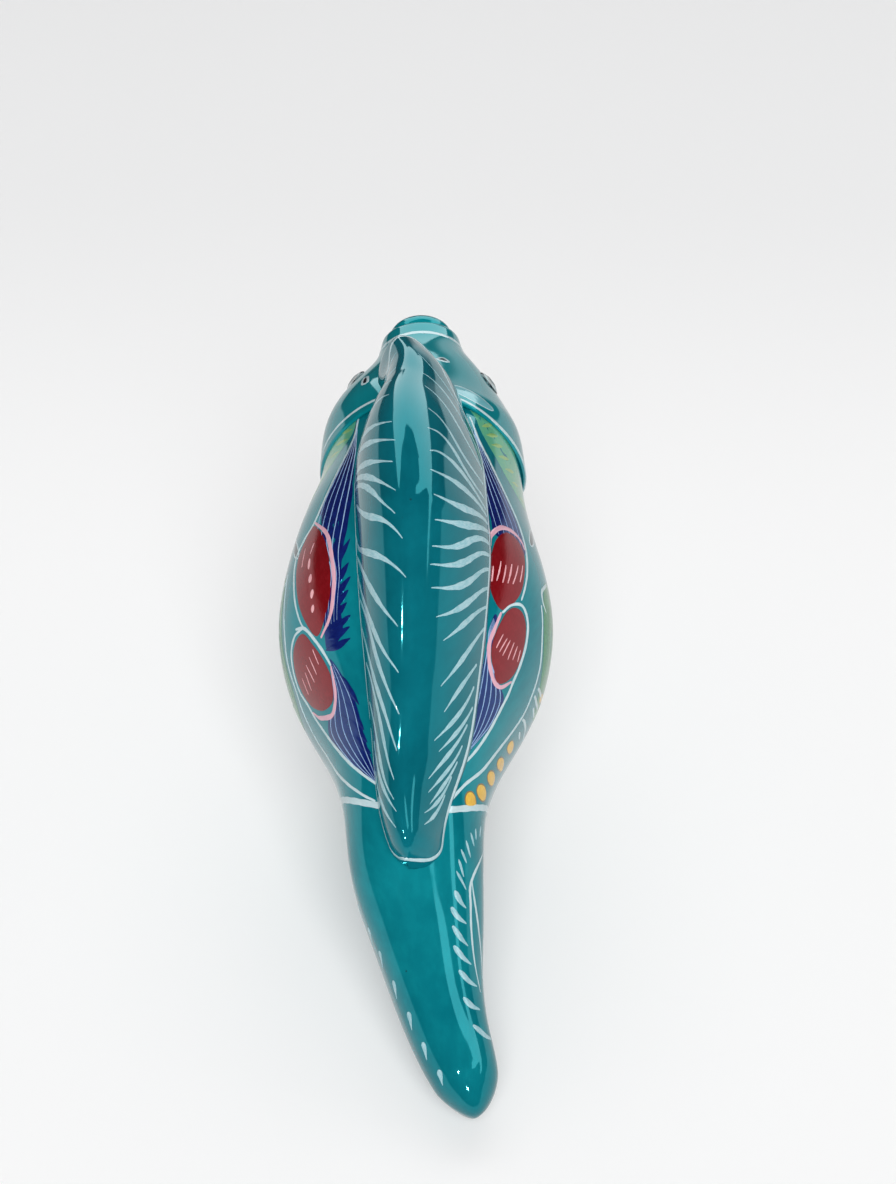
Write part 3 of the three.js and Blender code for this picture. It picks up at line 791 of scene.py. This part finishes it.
def paintTail():
    tail = {"comb": [((.658, 20), (.674, 23)), ((.668, 31), (.682, 31)), ((.677, 39), (.692, 35)),
      ((.689, 46), (.708, 42)), ((.701, 53), (.716, 48)), ((.713, 57), (.733, 53)),
      ((.727, 61), (.748, 51))],
     "dabs": [((.75, 65), (.763, 59), (.77, 52)), ((.77, 70), (.782, 63), (.789, 52)),
      ((.793, 70), (.807, 61), (.816, 51)), ((.817, 71), (.831, 60), (.838, 48)),
      ((.846, 69), (.859, 56), (.864, 42)), ((.878, 71), (.889, 60), (.893, 45)),
      ((.912, 68), (.925, 48), (.927, 25))],
     "edge": [[(.682, 8), (.735, 42), (.766, 45), (.801, 44), (.838, 40), (.87, 34)],
      [(.735, 42), (.756, 39), (.792, 29), (.821, 21), (.85, 18)]],
     "drops": [(.7, 196), (.735, 190), (.77, 180), (.804, 172), (.843, 164), (.881, 158), (.917, 156),
      (.953, 151)]}
    marks = [stroke(trunkAt, spots, .75, .05, hair) for spots in tail["comb"]]
    marks += [stroke(trunkAt, spots, 1.55, .06, (.5, 1, 1, .6, .2)) for spots in tail["dabs"]]
    for place, turn in tail["drops"]:
        spots = [(place - .008, turn - 3), (place, turn), (place + .010, turn + 6)]
        marks.append(stroke(trunkAt, spots, 1.7, .06, drop))
    paintPiece("tailDabs", "tail_glaze", whitePaint, marks)
    paintStrokes("tailEdgeLines", onTail, outlinePaint, tail["edge"], .8, .05, hair)


def paintFans():  # navy fans between the fin and the petals, with fine pale hairs
    navy = {"fans": [{"near": [(.11, 60), (.162, 56.6), (.202, 56), (.248, 56.6), (.285, 56.5), (.31, 55)],
              "far": [(.1, 61), (.138, 56), (.175, 49.5), (.22, 42.3), (.262, 38.5), (.312, 39)]},
             {"near": [(.436, 52), (.458, 52.7), (.479, 50.9), (.51, 50), (.545, 49), (.58, 50.6),
               (.612, 55.2)],
              "far": [(.44, 50), (.47, 49.9), (.491, 45.5), (.502, 34.4), (.512, 28.4), (.547, 32),
               (.612, 55.6)]},
             {"near": [(.06, 131), (.13, 126), (.2, 119), (.26, 117.6), (.33, 120), (.39, 122), (.455, 129)],
              "far": [(.079, 129.6), (.134, 129), (.187, 129.5), (.234, 132.6), (.27, 137.2), (.36, 127.5),
               (.462, 139)],
              "patches": [[(.05, 131.5), (.13, 126.4), (.2, 119.6), (.25, 118), (.262, 128), (.262, 135),
                (.22, 131), (.16, 129), (.1, 129.4)],
               [(.24, 118), (.3, 117.8), (.33, 119.4), (.38, 121.5), (.43, 125), (.462, 128), (.464, 139),
                (.43, 133), (.38, 127), (.33, 127), (.29, 131), (.25, 133)]],
              "spikes": 8},
             {"near": [(.478, 138.6), (.51, 133.6), (.54, 129.5), (.575, 127.4), (.6, 124), (.632, 119.4)],
              "far": [(.484, 140.4), (.522, 148), (.527, 158), (.545, 162), (.59, 147), (.632, 119.2)],
              "spikes": 5}],
            "spikes": [((.38, 126), (.35, 121), (.326, 116.5)), ((.4, 127), (.385, 122), (.366, 117.4)),
             ((.415, 128.5), (.405, 123), (.392, 117.4)), ((.425, 130), (.42, 125), (.411, 119.4)),
             ((.437, 132), (.434, 127), (.427, 121.4)), ((.447, 134), (.449, 128), (.445, 121)),
             ((.455, 137), (.459, 130), (.458, 122.8)), ((.464, 140), (.47, 133), (.471, 124)),
             ((.49, 139), (.515, 133.5), (.541, 127.6)), ((.5, 140), (.53, 134), (.548, 131.5)),
             ((.52, 141), (.545, 133), (.568, 127)), ((.54, 142), (.562, 133), (.582, 125.6)),
             ((.56, 141), (.58, 132), (.595, 123.6))]}
    shares = (.1, .3, .5, .7, .88)
    spikes, hairs = iter(enumerate(navy["spikes"])), []
    for k, fan in enumerate(navy["fans"]):
        outlines = fan.get("patches", [fan["near"] + fan["far"][::-1]])
        marks = [blob(trunkAt, spots, .035 + .002 * i) for i, spots in enumerate(outlines)]
        for _ in range(fan.get("spikes", 0)):
            i, spots = next(spikes)
            marks.append(stroke(trunkAt, spots, 2, .042 + .001 * i, leafy))
        paintPiece("navyFan%d" % (k + 1), "body_glaze", navyPaint, marks)
        near, far = (curveThrough(fan[edge], 31) for edge in ("near", "far"))
        hairs += [(near * (1 - share) + far * share)[1:-1:4] for share in shares]
    paintStrokes("navyFanHairs", onBody, skyPaint, hairs, .36, .055, hair, cells=5)


def paintCollars():  # pale leaves behind the gill edge
    collar = {"collars": [[(.07, 63), (.095, 58), (.114, 55), (.133, 50), (.155, 43), (.176, 36),
                (.192, 26), (.188, 18), (.165, 14), (.13, 14), (.1, 24), (.085, 36), (.075, 50)],
               [(.05, 131), (.08, 129.7), (.11, 131), (.135, 136), (.16, 142), (.185, 147.5), (.205, 153),
                (.213, 161), (.19, 167), (.15, 169), (.11, 164), (.08, 155), (.06, 142)]],
              "collarTicks": [((.105, 54), (.088, 46)), ((.118, 51), (.104, 42)), ((.131, 47), (.117, 38)),
               ((.144, 42), (.129, 32)), ((.158, 37), (.142, 27)), ((.171, 32), (.156, 22)),
               ((.182, 25), (.172, 17)), ((.1, 132), (.09, 142)), ((.118, 134), (.107, 146)),
               ((.137, 139), (.124, 151)), ((.156, 143.5), (.142, 156)), ((.175, 148), (.162, 161)),
               ((.193, 153), (.185, 164))]}
    paintBlobs("collarLeaves", onBody, palePaint, collar["collars"], .03)
    paintStrokes("collarLeafTicks", onBody, limePaint, collar["collarTicks"], 1.3, .05, leafy)


def paintPetals():  # two red petals on each flank, with ticks, pink edges and white contours
    flower = {"petals": [[(.275, 137.5), (.306, 129.9), (.35, 126.6), (.399, 128), (.427, 134.1),
                (.44, 142), (.405, 145.8), (.356, 146.8), (.309, 147), (.287, 142.8)],
               [(.42, 150.2), (.446, 146.3), (.47, 143.7), (.493, 142.6), (.509, 144.7), (.517, 149.5),
                (.51, 159.1), (.487, 167.5), (.458, 169.6), (.434, 166.2), (.419, 159.4)],
               [(.296, 49.3), (.295, 42.7), (.312, 39.6), (.351, 40.8), (.391, 42.6), (.422, 47.9),
                (.419, 53.3), (.399, 57.5), (.36, 58.7), (.321, 55.8)],
               [(.41, 42.5), (.409, 37.7), (.423, 33), (.45, 29.6), (.475, 29.2), (.492, 32.5),
                (.501, 37.7), (.494, 42.6), (.48, 47.4), (.462, 48.6), (.44, 47.6), (.421, 45.8)]],
              "ticks": [[1.3, ((.323, 137.6), (.339, 138.2))], [1.4, ((.35, 136.8), (.362, 138))],
               [1.5, ((.377, 136.6), (.389, 138.4))], [1.6, ((.4, 138.2), (.409, 140))],
               [.5, ((.303, 135.5), (.316, 137.5))], [.5, ((.3, 141.5), (.326, 143))],
               [.5, ((.449, 147.4), (.47, 147.3))], [.5, ((.451, 151.5), (.476, 151.4))],
               [.5, ((.453, 155.9), (.479, 155.4))], [.5, ((.457, 159), (.48, 160.7))],
               [.5, ((.455, 163.5), (.477, 164.9))], [.6, ((.367, 57.5), (.394, 57.2))],
               [.6, ((.352, 53.9), (.389, 55))], [.6, ((.354, 51.3), (.387, 52))],
               [.6, ((.346, 48.1), (.383, 49.5))], [.6, ((.341, 44.5), (.379, 46.9))],
               [.6, ((.335, 41.6), (.367, 43.2))], [.5, ((.451, 44.6), (.471, 45.9))],
               [.5, ((.452, 41.7), (.472, 43.4))], [.5, ((.451, 39.6), (.473, 40.9))],
               [.5, ((.449, 37), (.472, 37))], [.5, ((.449, 34.3), (.467, 33.9))],
               [.5, ((.449, 31.6), (.463, 30.4))]],
              "pink": [[(.27, 137.2), (.298, 129), (.33, 125.8), (.38, 124.9), (.417, 128.3), (.436, 133),
                (.447, 140)],
               [(.493, 169.7), (.511, 164.5), (.527, 152.8), (.522, 146.2), (.508, 142.4), (.484, 140)],
               [(.335, 58.9), (.314, 57.8), (.292, 51.9), (.285, 45), (.29, 39.6), (.302, 38.2)],
               [(.428, 49), (.451, 49.8), (.472, 50.3), (.491, 46.8), (.503, 40.7), (.502, 34.4),
                (.486, 28.6)]],
              "outline": [[(.096, 62), (.138, 55.5), (.166, 50), (.196, 45), (.226, 40.5), (.255, 37.5),
                (.291, 36.9), (.331, 38.2), (.365, 39.6), (.393, 40.5)],
               [(.079, 129), (.134, 128.5), (.187, 129), (.234, 132.4), (.27, 137.9), (.283, 144.2),
                (.301, 149.3), (.349, 149.3), (.398, 149), (.416, 148)],
               [(.404, 153.5), (.417, 147.6), (.444, 143.8), (.464, 141.6), (.484, 139.9)],
               [(.414, 149), (.409, 155.9), (.416, 163.1), (.431, 168.4), (.454, 172.1), (.479, 170.9),
                (.506, 169.7), (.545, 162.8), (.582, 150), (.61, 134.6), (.632, 119)],
               [(.428, 48.5), (.41, 45), (.399, 39.2), (.411, 33.5), (.435, 29.6), (.463, 27.6),
                (.485, 27.4), (.506, 27.3), (.547, 31.2), (.583, 40.6), (.614, 56.1)],
               [(.367, 26.7), (.405, 19.4), (.43, 11.9), (.458, 6.9), (.49, 4.9), (.536, 11.2),
                (.588, 25.8), (.624, 46.2), (.647, 59), (.66, 64)],
               [(.305, 157.6), (.347, 159.9), (.385, 164.3), (.412, 170.7), (.444, 175.6), (.468, 181.3),
                (.513, 182.6), (.566, 173.1), (.602, 157.3), (.631, 137.6), (.646, 123.7)]]}
    paintBlobs("petals", onBody, redPaint, flower["petals"], .09, .15)
    marks = [stroke(trunkAt, spots, width, .11, (.6, 1, 1, .7)) for width, spots in flower["ticks"]]
    paintPiece("petalTicks", "body_glaze", rosePaint, marks)
    paintStrokes("petalEdges", onBody, pinkPaint, flower["pink"], 1.25, .1, (.5, 1, 1.1, 1, .5))
    paintStrokes("flowerContours", onBody, outlinePaint, flower["outline"], 1, .095, (.6, 1, 1, 1, .6))


def paintLeaves():
    leaf = {"leaves": [[(.311, 16.8), (.33, 11), (.356, 5), (.386, -2), (.412, -7), (.447, -10), (.434, 3),
              (.414, 13.6), (.391, 20.4), (.36, 24.6), (.325, 23)],
             [(.3, 163), (.33, 168), (.37, 175), (.4, 184), (.425, 190), (.455, 193), (.44, 182),
              (.41, 174), (.375, 168), (.34, 162.5), (.315, 161)]],
            "leafStreaks": [((.425, 5), (.406, 9.5), (.386, 14.5), (.35, 18.5)),
             ((.43, 184), (.4, 178), (.36, 169))],
            "commas": [((.315, 19.2), (.342, 26.2), (.358, 25.4), (.366, 21)),
             ((.442, 4), (.433, -1.5), (.421, -8)), ((.453, 3.7), (.446, -2), (.432, -10)),
             ((.455, -2.2), (.446, -9.5)), ((.487, 3), (.475, -6), (.476, -13)),
             ((.495, -1.7), (.492, -6.2)), ((.311, 158), (.318, 166), (.345, 172))]}
    paintBlobs("flankLeaves", onBody, leafPaint, leaf["leaves"], .05)
    paintStrokes("flankLeafStreaks", onBody, darkPaint, leaf["leafStreaks"], .8, .065, leafy)
    paintStrokes("commaDabs", onBody, outlinePaint, leaf["commas"], 1.1, .07, comma)


def paintDots():  # each a spot, its swing, and how high and wide it is
    dots = {"seeds": [(.424, -6.5, 56, 3.5, 1.3), (.521, -.5, 66, 4.4, 1.7), (.552, 2.3, 63, 4.2, 1.6),
             (.5835, 10, 69, 4, 1.75), (.6153, 22, 72, 3.4, 1.95), (.6378, 37.8, 43, 2.5, 2.1)],
            "ovals": [(.25, 24.5, 41, 7, 1.2), (.281, 152, -38, 6, 1.1)]}
    seeds, ovals = ([laidOut(trunkAt, place, turn, ovalCorners(high, wide), swing)
                     for place, turn, swing, high, wide in dots[kind]] for kind in ("seeds", "ovals"))
    paintBlobs("seedEdges", onBody, brownPaint, seeds, .045, .36)
    paintBlobs("seeds", onBody, yellowPaint, seeds, .065)
    paintBlobs("ovalEdges", onBody, outlinePaint, ovals, .045, .45)
    paintBlobs("ovalDots", onBody, blackPaint, ovals, .065)


def paintTailRing():
    ring = {"middle": .6095, "rise": .0525, "aside": .006}
    loop = []
    for turn in range(0, 361, 15):
        angle = math.radians(turn)
        loop.append((ring["middle"] + ring["rise"] * math.sin(angle) + ring["aside"] * math.cos(angle), turn))
    paintStrokes("tailRing", onBody, outlinePaint, [loop], 1.65, .08, looped=True)


def paintUnderside():  # a flower and leaves low on each flank, seeds on the belly, dabs on the throat
    low = {"flower": (.335, -31), "petals": 6, "firstPetal": 20, "heart": (3, 3), "seed": (2.4, 1.6),
           "petal": [(3.4, 0), (5.5, 2.1), (9, 2.9), (12, 1.7), (13.2, 0), (12, -1.7), (9, -2.9),
                     (5.5, -2.1)],
           "dab": [(13, 0), (14.4, 0), (15.6, 0)], "ticks": (-.9, 0, .9),
           "leaves": [(.42, -15, 35), (.235, -22, 150), (.44, -42, -10), (.23, -45, -160)],
           "leaf": [(-6.5, 0), (-3, 2.2), (1, 2.9), (5, 1.8), (8, 0), (5, -1.6), (1, -2.6), (-3, -2)],
           "vein": [(-5, 0), (0, .4), (6, 0)],
           "seedRow": [(.13 + .043 * k, -52 - 12 * math.sin(k * .42)) for k in range(9)],
           "seedDab": [(2, -4), (.5, -5.5), (-1.5, -6.2)],
           "throat": [(.05 + .028 * k, -30 - 5 * k) for k in range(6)],
           "throatDab": [(0, -3), (1.5, 0), (4.5, 3)]}
    marks = {kind: [] for kind in ("petals", "ticks", "hearts", "leaves", "veins", "seeds", "dabs")}
    for mirror in (False, True):
        def add(kind, place, turn, corners, swing=0):
            spots = laidOut(trunkAt, place, turn, corners, swing)
            marks[kind].append([(along, 180 - aside if mirror else aside) for along, aside in spots])

        for k in range(low["petals"]):
            swing = k * 360 / low["petals"] + low["firstPetal"]
            add("petals", *low["flower"], low["petal"], swing)
            for aside in low["ticks"]:
                add("ticks", *low["flower"], [(7, aside), (8.4, aside * 1.15), (9.8, aside * 1.2)], swing)
            add("dabs", *low["flower"], low["dab"], swing + 30)
        add("hearts", *low["flower"], ovalCorners(*low["heart"]))
        for place, turn, swing in low["leaves"]:
            add("leaves", place, turn, low["leaf"], swing)
            add("veins", place, turn, low["vein"], swing)
        for spot in low["seedRow"]:
            add("seeds", *spot, ovalCorners(*low["seed"]), 50)
            add("dabs", *spot, low["seedDab"])
        for spot in low["throat"]:
            add("dabs", *spot, low["throatDab"])
    paintBlobs("lowPetalEdges", onBody, outlinePaint, marks["petals"], .045, .55)
    paintBlobs("lowPetals", onBody, redPaint, marks["petals"], .07)
    paintStrokes("lowPetalTicks", onBody, rosePaint, marks["ticks"], .5, .09, (.6, 1, .7), cells=5)
    paintBlobs("flowerHearts", onBody, yellowPaint, marks["hearts"], .1)
    paintBlobs("lowLeaves", onBody, palePaint, marks["leaves"], .06)
    paintStrokes("lowLeafVeins", onBody, outlinePaint, marks["veins"], .6, .08, hair)
    paintBlobs("bellySeedEdges", onBody, brownPaint, marks["seeds"], .045, .36)
    paintBlobs("bellySeeds", onBody, yellowPaint, marks["seeds"], .065)
    paintStrokes("lowDabs", onBody, outlinePaint, marks["dabs"], 1, .06, comma, cells=5)


def paintHead():
    head = {"mouthAt": .885, "gill": (.017, .07, 40),  # least and added distance from the gill edge, turn
            "nostrils": [[(.561, 102.5), (.583, 107.5), (.551, 112), (.545, 107)],
                         [(.34, 53), (.42, 50.5), (.425, 54), (.35, 57)]],
            "cheekReflection": [(.18, 105), (.228, 110), (.212, 117.9), (.162, 126.6), (.115, 132), (.08, 128),
                       (.075, 117), (.11, 107)]}
    least, added, most = head["gill"]
    turns = range(0, 361, 15)
    mouthLine = [(head["mouthAt"], turn) for turn in turns]
    # the gill line is partly a painted white line and partly a painted highlight along the gill's rounded rim
    gillLineAndHighlight = [(least + added * max(0, math.cos(math.radians(turn - most))), turn) for turn in turns]
    marks = [stroke(headAt, mouthLine, 1.3, .06, looped=True), stroke(headAt, gillLineAndHighlight, .9, .06, looped=True)]
    paintPiece("headLines", "head_glaze", outlinePaint, marks)
    paintBlobs("nostrilEdges", onHead, outlinePaint, head["nostrils"], .05, .3)
    dots = [blob(headAt, spots, .07, -.3 - .15 * k) for k, spots in enumerate(head["nostrils"])]
    paintPiece("nostrilDots", "head_glaze", blackPaint, dots)
    # painted reflection: a pale teal almond with a white edge on one cheek only, standing for a softbox
    # mirrored in the gill bulge
    paintBlobs("cheekReflectionEdges", onHead, outlinePaint, [head["cheekReflection"]], .04)
    paintBlobs("cheekReflectionPatch", onHead, reflectionPaint, [head["cheekReflection"]], .06, -.3)


paintFin()
paintTail()
paintFans()
paintCollars()
paintPetals()
paintLeaves()
paintDots()
paintTailRing()
paintUnderside()
paintHead()
print("painted marks made")


# Floor, light and camera

def stagePiece(name, points, faces, material):
    mesh = bpy.data.meshes.new(name)
    mesh.from_pydata(points, [], faces)
    mesh.materials.append(material)
    made = bpy.data.objects.new(name, mesh)
    bpy.context.scene.collection.objects.link(made)
    return made


def makeStage():
    stage = {"size": 9, "near": (.64, .638, .638, 1), "far": (.555, .555, .557, 1), "nearAt": -.12,
             "farAt": -.5, "glow": .25}  # a sheet lit a little from below
    half = stage["size"] / 2
    corners = [(-half, -half, 0), (half, -half, 0), (half, half, 0), (-half, half, 0)]
    material, tree, shader = newMaterial("paleFloor", {
        "Roughness": .55, "Specular IOR Level": .2, "Emission Color": (1, 1, 1, 1),
        "Emission Strength": stage["glow"]})
    # painted shade: the floor's colour darkens from near to far, standing for the light falling off over it
    share = spread(tree, splitOf(tree, placeOn(tree))["Y"], stage["farAt"], stage["nearAt"])
    join(tree, mixColour(tree, share, stage["far"], stage["near"]), shader["Base Color"])
    floor = stagePiece("studioFloor", corners, [(0, 1, 2, 3)], material)
    floor.visible_glossy = False  # the world below the horizon stands for it in the reflections


def areaLamp(name, place, aim, width, height, radiance, mirrored):
    lamp = bpy.data.lights.new(name, "AREA")
    lamp.shape, lamp.size, lamp.size_y = "RECTANGLE", width, height
    lamp.energy = 4 * width * height * radiance  # watts for that radiance
    made = bpy.data.objects.new(name, lamp)
    made.visible_diffuse, made.visible_glossy = not mirrored, mirrored
    bpy.context.scene.collection.objects.link(made)
    made.location = place
    made.rotation_mode = "QUATERNION"
    made.rotation_quaternion = (Vector(aim) - Vector(place)).to_track_quat("-Z", "Y")


def makeArch():  # a softbox bent round the far side, seen only as the reflection in the glaze
    arch = {"reach": 1.6, "rise": .08, "level": 2.1, "steps": 9, "strips": [  # sideways, low and high angle
        [(101, 45.5, 46.5), (85, 43, 53), (71, 40, 58), (55, 36, 64), (39, 31, 68), (34, 26, 68),
         (30, 21, 68), (26, 15, 68), (23, 10, 68), (20.5, 9, 67), (18, 14, 67), (16, 19.5, 66), (14, 21, 66),
         (0, 21, 64), (-12, 21, 63), (-20, 20, 62), (-24, 12, 61), (-27, 12.5, 60), (-31, 15, 59),
         (-35, 18, 58), (-39, 20, 57), (-55, 26, 55), (-72, 31, 50), (-85, 31, 41), (-97, 26, 34),
         (-108, 24, 30), (-113, 25.5, 27)],
        [(-62, 36, 56), (-72, 33, 57), (-82, 37, 58), (-92, 44, 59), (-103, 48, 62), (-113, 50, 65),
         (-123, 51, 65), (-134, 53, 61), (-142, 55.5, 56.5)]]}
    points, faces, steps = [], [], arch["steps"]
    for strip in arch["strips"]:
        start = len(points)
        for sideways, low, high in strip:
            swing = math.radians(sideways)
            for rise in np.radians(np.linspace(low, high, steps)):
                flat = math.cos(rise)
                points.append([math.sin(swing) * flat, -math.cos(swing) * flat, math.sin(rise)])
        corners = [start + steps * i + j for i in range(len(strip) - 1) for j in range(steps - 1)]
        faces += [(k, k + 1, k + steps + 1, k + steps) for k in corners]
    material = newMaterial("lampCloth", {
        "Base Color": (0, 0, 0, 1), "Emission Color": (1, 1, 1, 1), "Emission Strength": arch["level"]})[0]
    points = (np.array(points) * arch["reach"] + [0, 0, arch["rise"]]).tolist()
    made = stagePiece("softboxArch", points, faces, material)
    made.visible_camera = made.visible_diffuse = made.visible_shadow = made.visible_transmission = False


def makeLight():
    middle = (0, 0, .08)
    areaLamp("farLight", (0, -1.05, 1.5), (0, -1.05, 0), 1.8, .9, 1.3, False)
    areaLamp("nearLight", (-.35, 4.0, 3.2), (0, -.3, 0), 3.2, 3.0, 8.2, False)
    areaLamp("glintLong", (.59, .69, .645), middle, .03, .06, 500, True)
    areaLamp("glintLow", (.25, 1.0, .22), middle, .07, .07, 400, True)
    areaLamp("glintShort", (.585, .745, .57), middle, .03, .025, 500, True)


def makeWorld():  # what the glaze mirrors: a pale floor, a dark room, a wall and a lit patch
    world = bpy.data.worlds.new("studio")
    bpy.context.scene.world = world
    world.use_nodes = True
    tree = world.node_tree
    ray = newNode(tree, "LightPath").outputs
    split = splitOf(tree, placeOn(tree, "Generated"))
    aside = times(tree, split["X"], -1)  # a lit wall stands low on the fish's right
    flank = times(tree, spread(tree, aside, .6, .85), times(tree, spread(tree, split["Y"], .25, 0), .12))
    wall = plus(tree, times(tree, spread(tree, aside, .1, .3), .07), flank)
    front = times(tree, split["Y"], -1)  # in front of the head the dark room comes lower
    dip = plus(tree, times(tree, spread(tree, front, .7, .86), .13),
               times(tree, spread(tree, split["Y"], .3, .75), .5))
    level = plus(tree, minus(tree, split["Z"], wall), dip)
    patch = times(tree, spread(tree, front, .88, .95), spread(tree, aside, .04, .2))
    height = times(tree, spread(tree, split["Z"], -.2, -.08), spread(tree, split["Z"], .36, .18))
    room = mixColour(tree, times(tree, patch, height), (.035, .037, .04, 1), (.75, .76, .77, 1))
    room = mixColour(tree, spread(tree, level, -.02, .01), (.7, .7, .7, 1), room)
    colour = mixColour(tree, ray["Is Glossy Ray"], (.2, .202, .205, 1), room)
    colour = mixColour(tree, ray["Is Camera Ray"], colour, (.76, .76, .765, 1))
    join(tree, colour, tree.nodes["Background"].inputs["Color"])


def makeCamera():
    view = {"place": (-.01801, .49026, .40652), "pitch": 33, "swing": 1, "lens": 66.892}
    pitch, swing = math.radians(view["pitch"]), math.radians(view["swing"])
    flat = math.cos(pitch)
    forward = Vector((math.sin(swing) * flat, -math.cos(swing) * flat, -math.sin(pitch)))
    right = Vector((-math.cos(swing), -math.sin(swing), 0))
    up = right.cross(forward)
    data = bpy.data.cameras.new("photoView")
    data.lens, data.sensor_width, data.clip_start, data.clip_end = view["lens"], 36, .01, 30
    camera = bpy.data.objects.new("photoView", data)
    turned = Matrix((right, up, -forward)).transposed().to_4x4()
    camera.matrix_world = Matrix.Translation(view["place"]) @ turned
    bpy.context.scene.collection.objects.link(camera)
    bpy.context.scene.camera = camera


makeStage()
makeArch()
makeLight()
makeWorld()
makeCamera()
bpy.context.scene.view_settings.view_transform = "Standard"
print("floor, light and camera made")
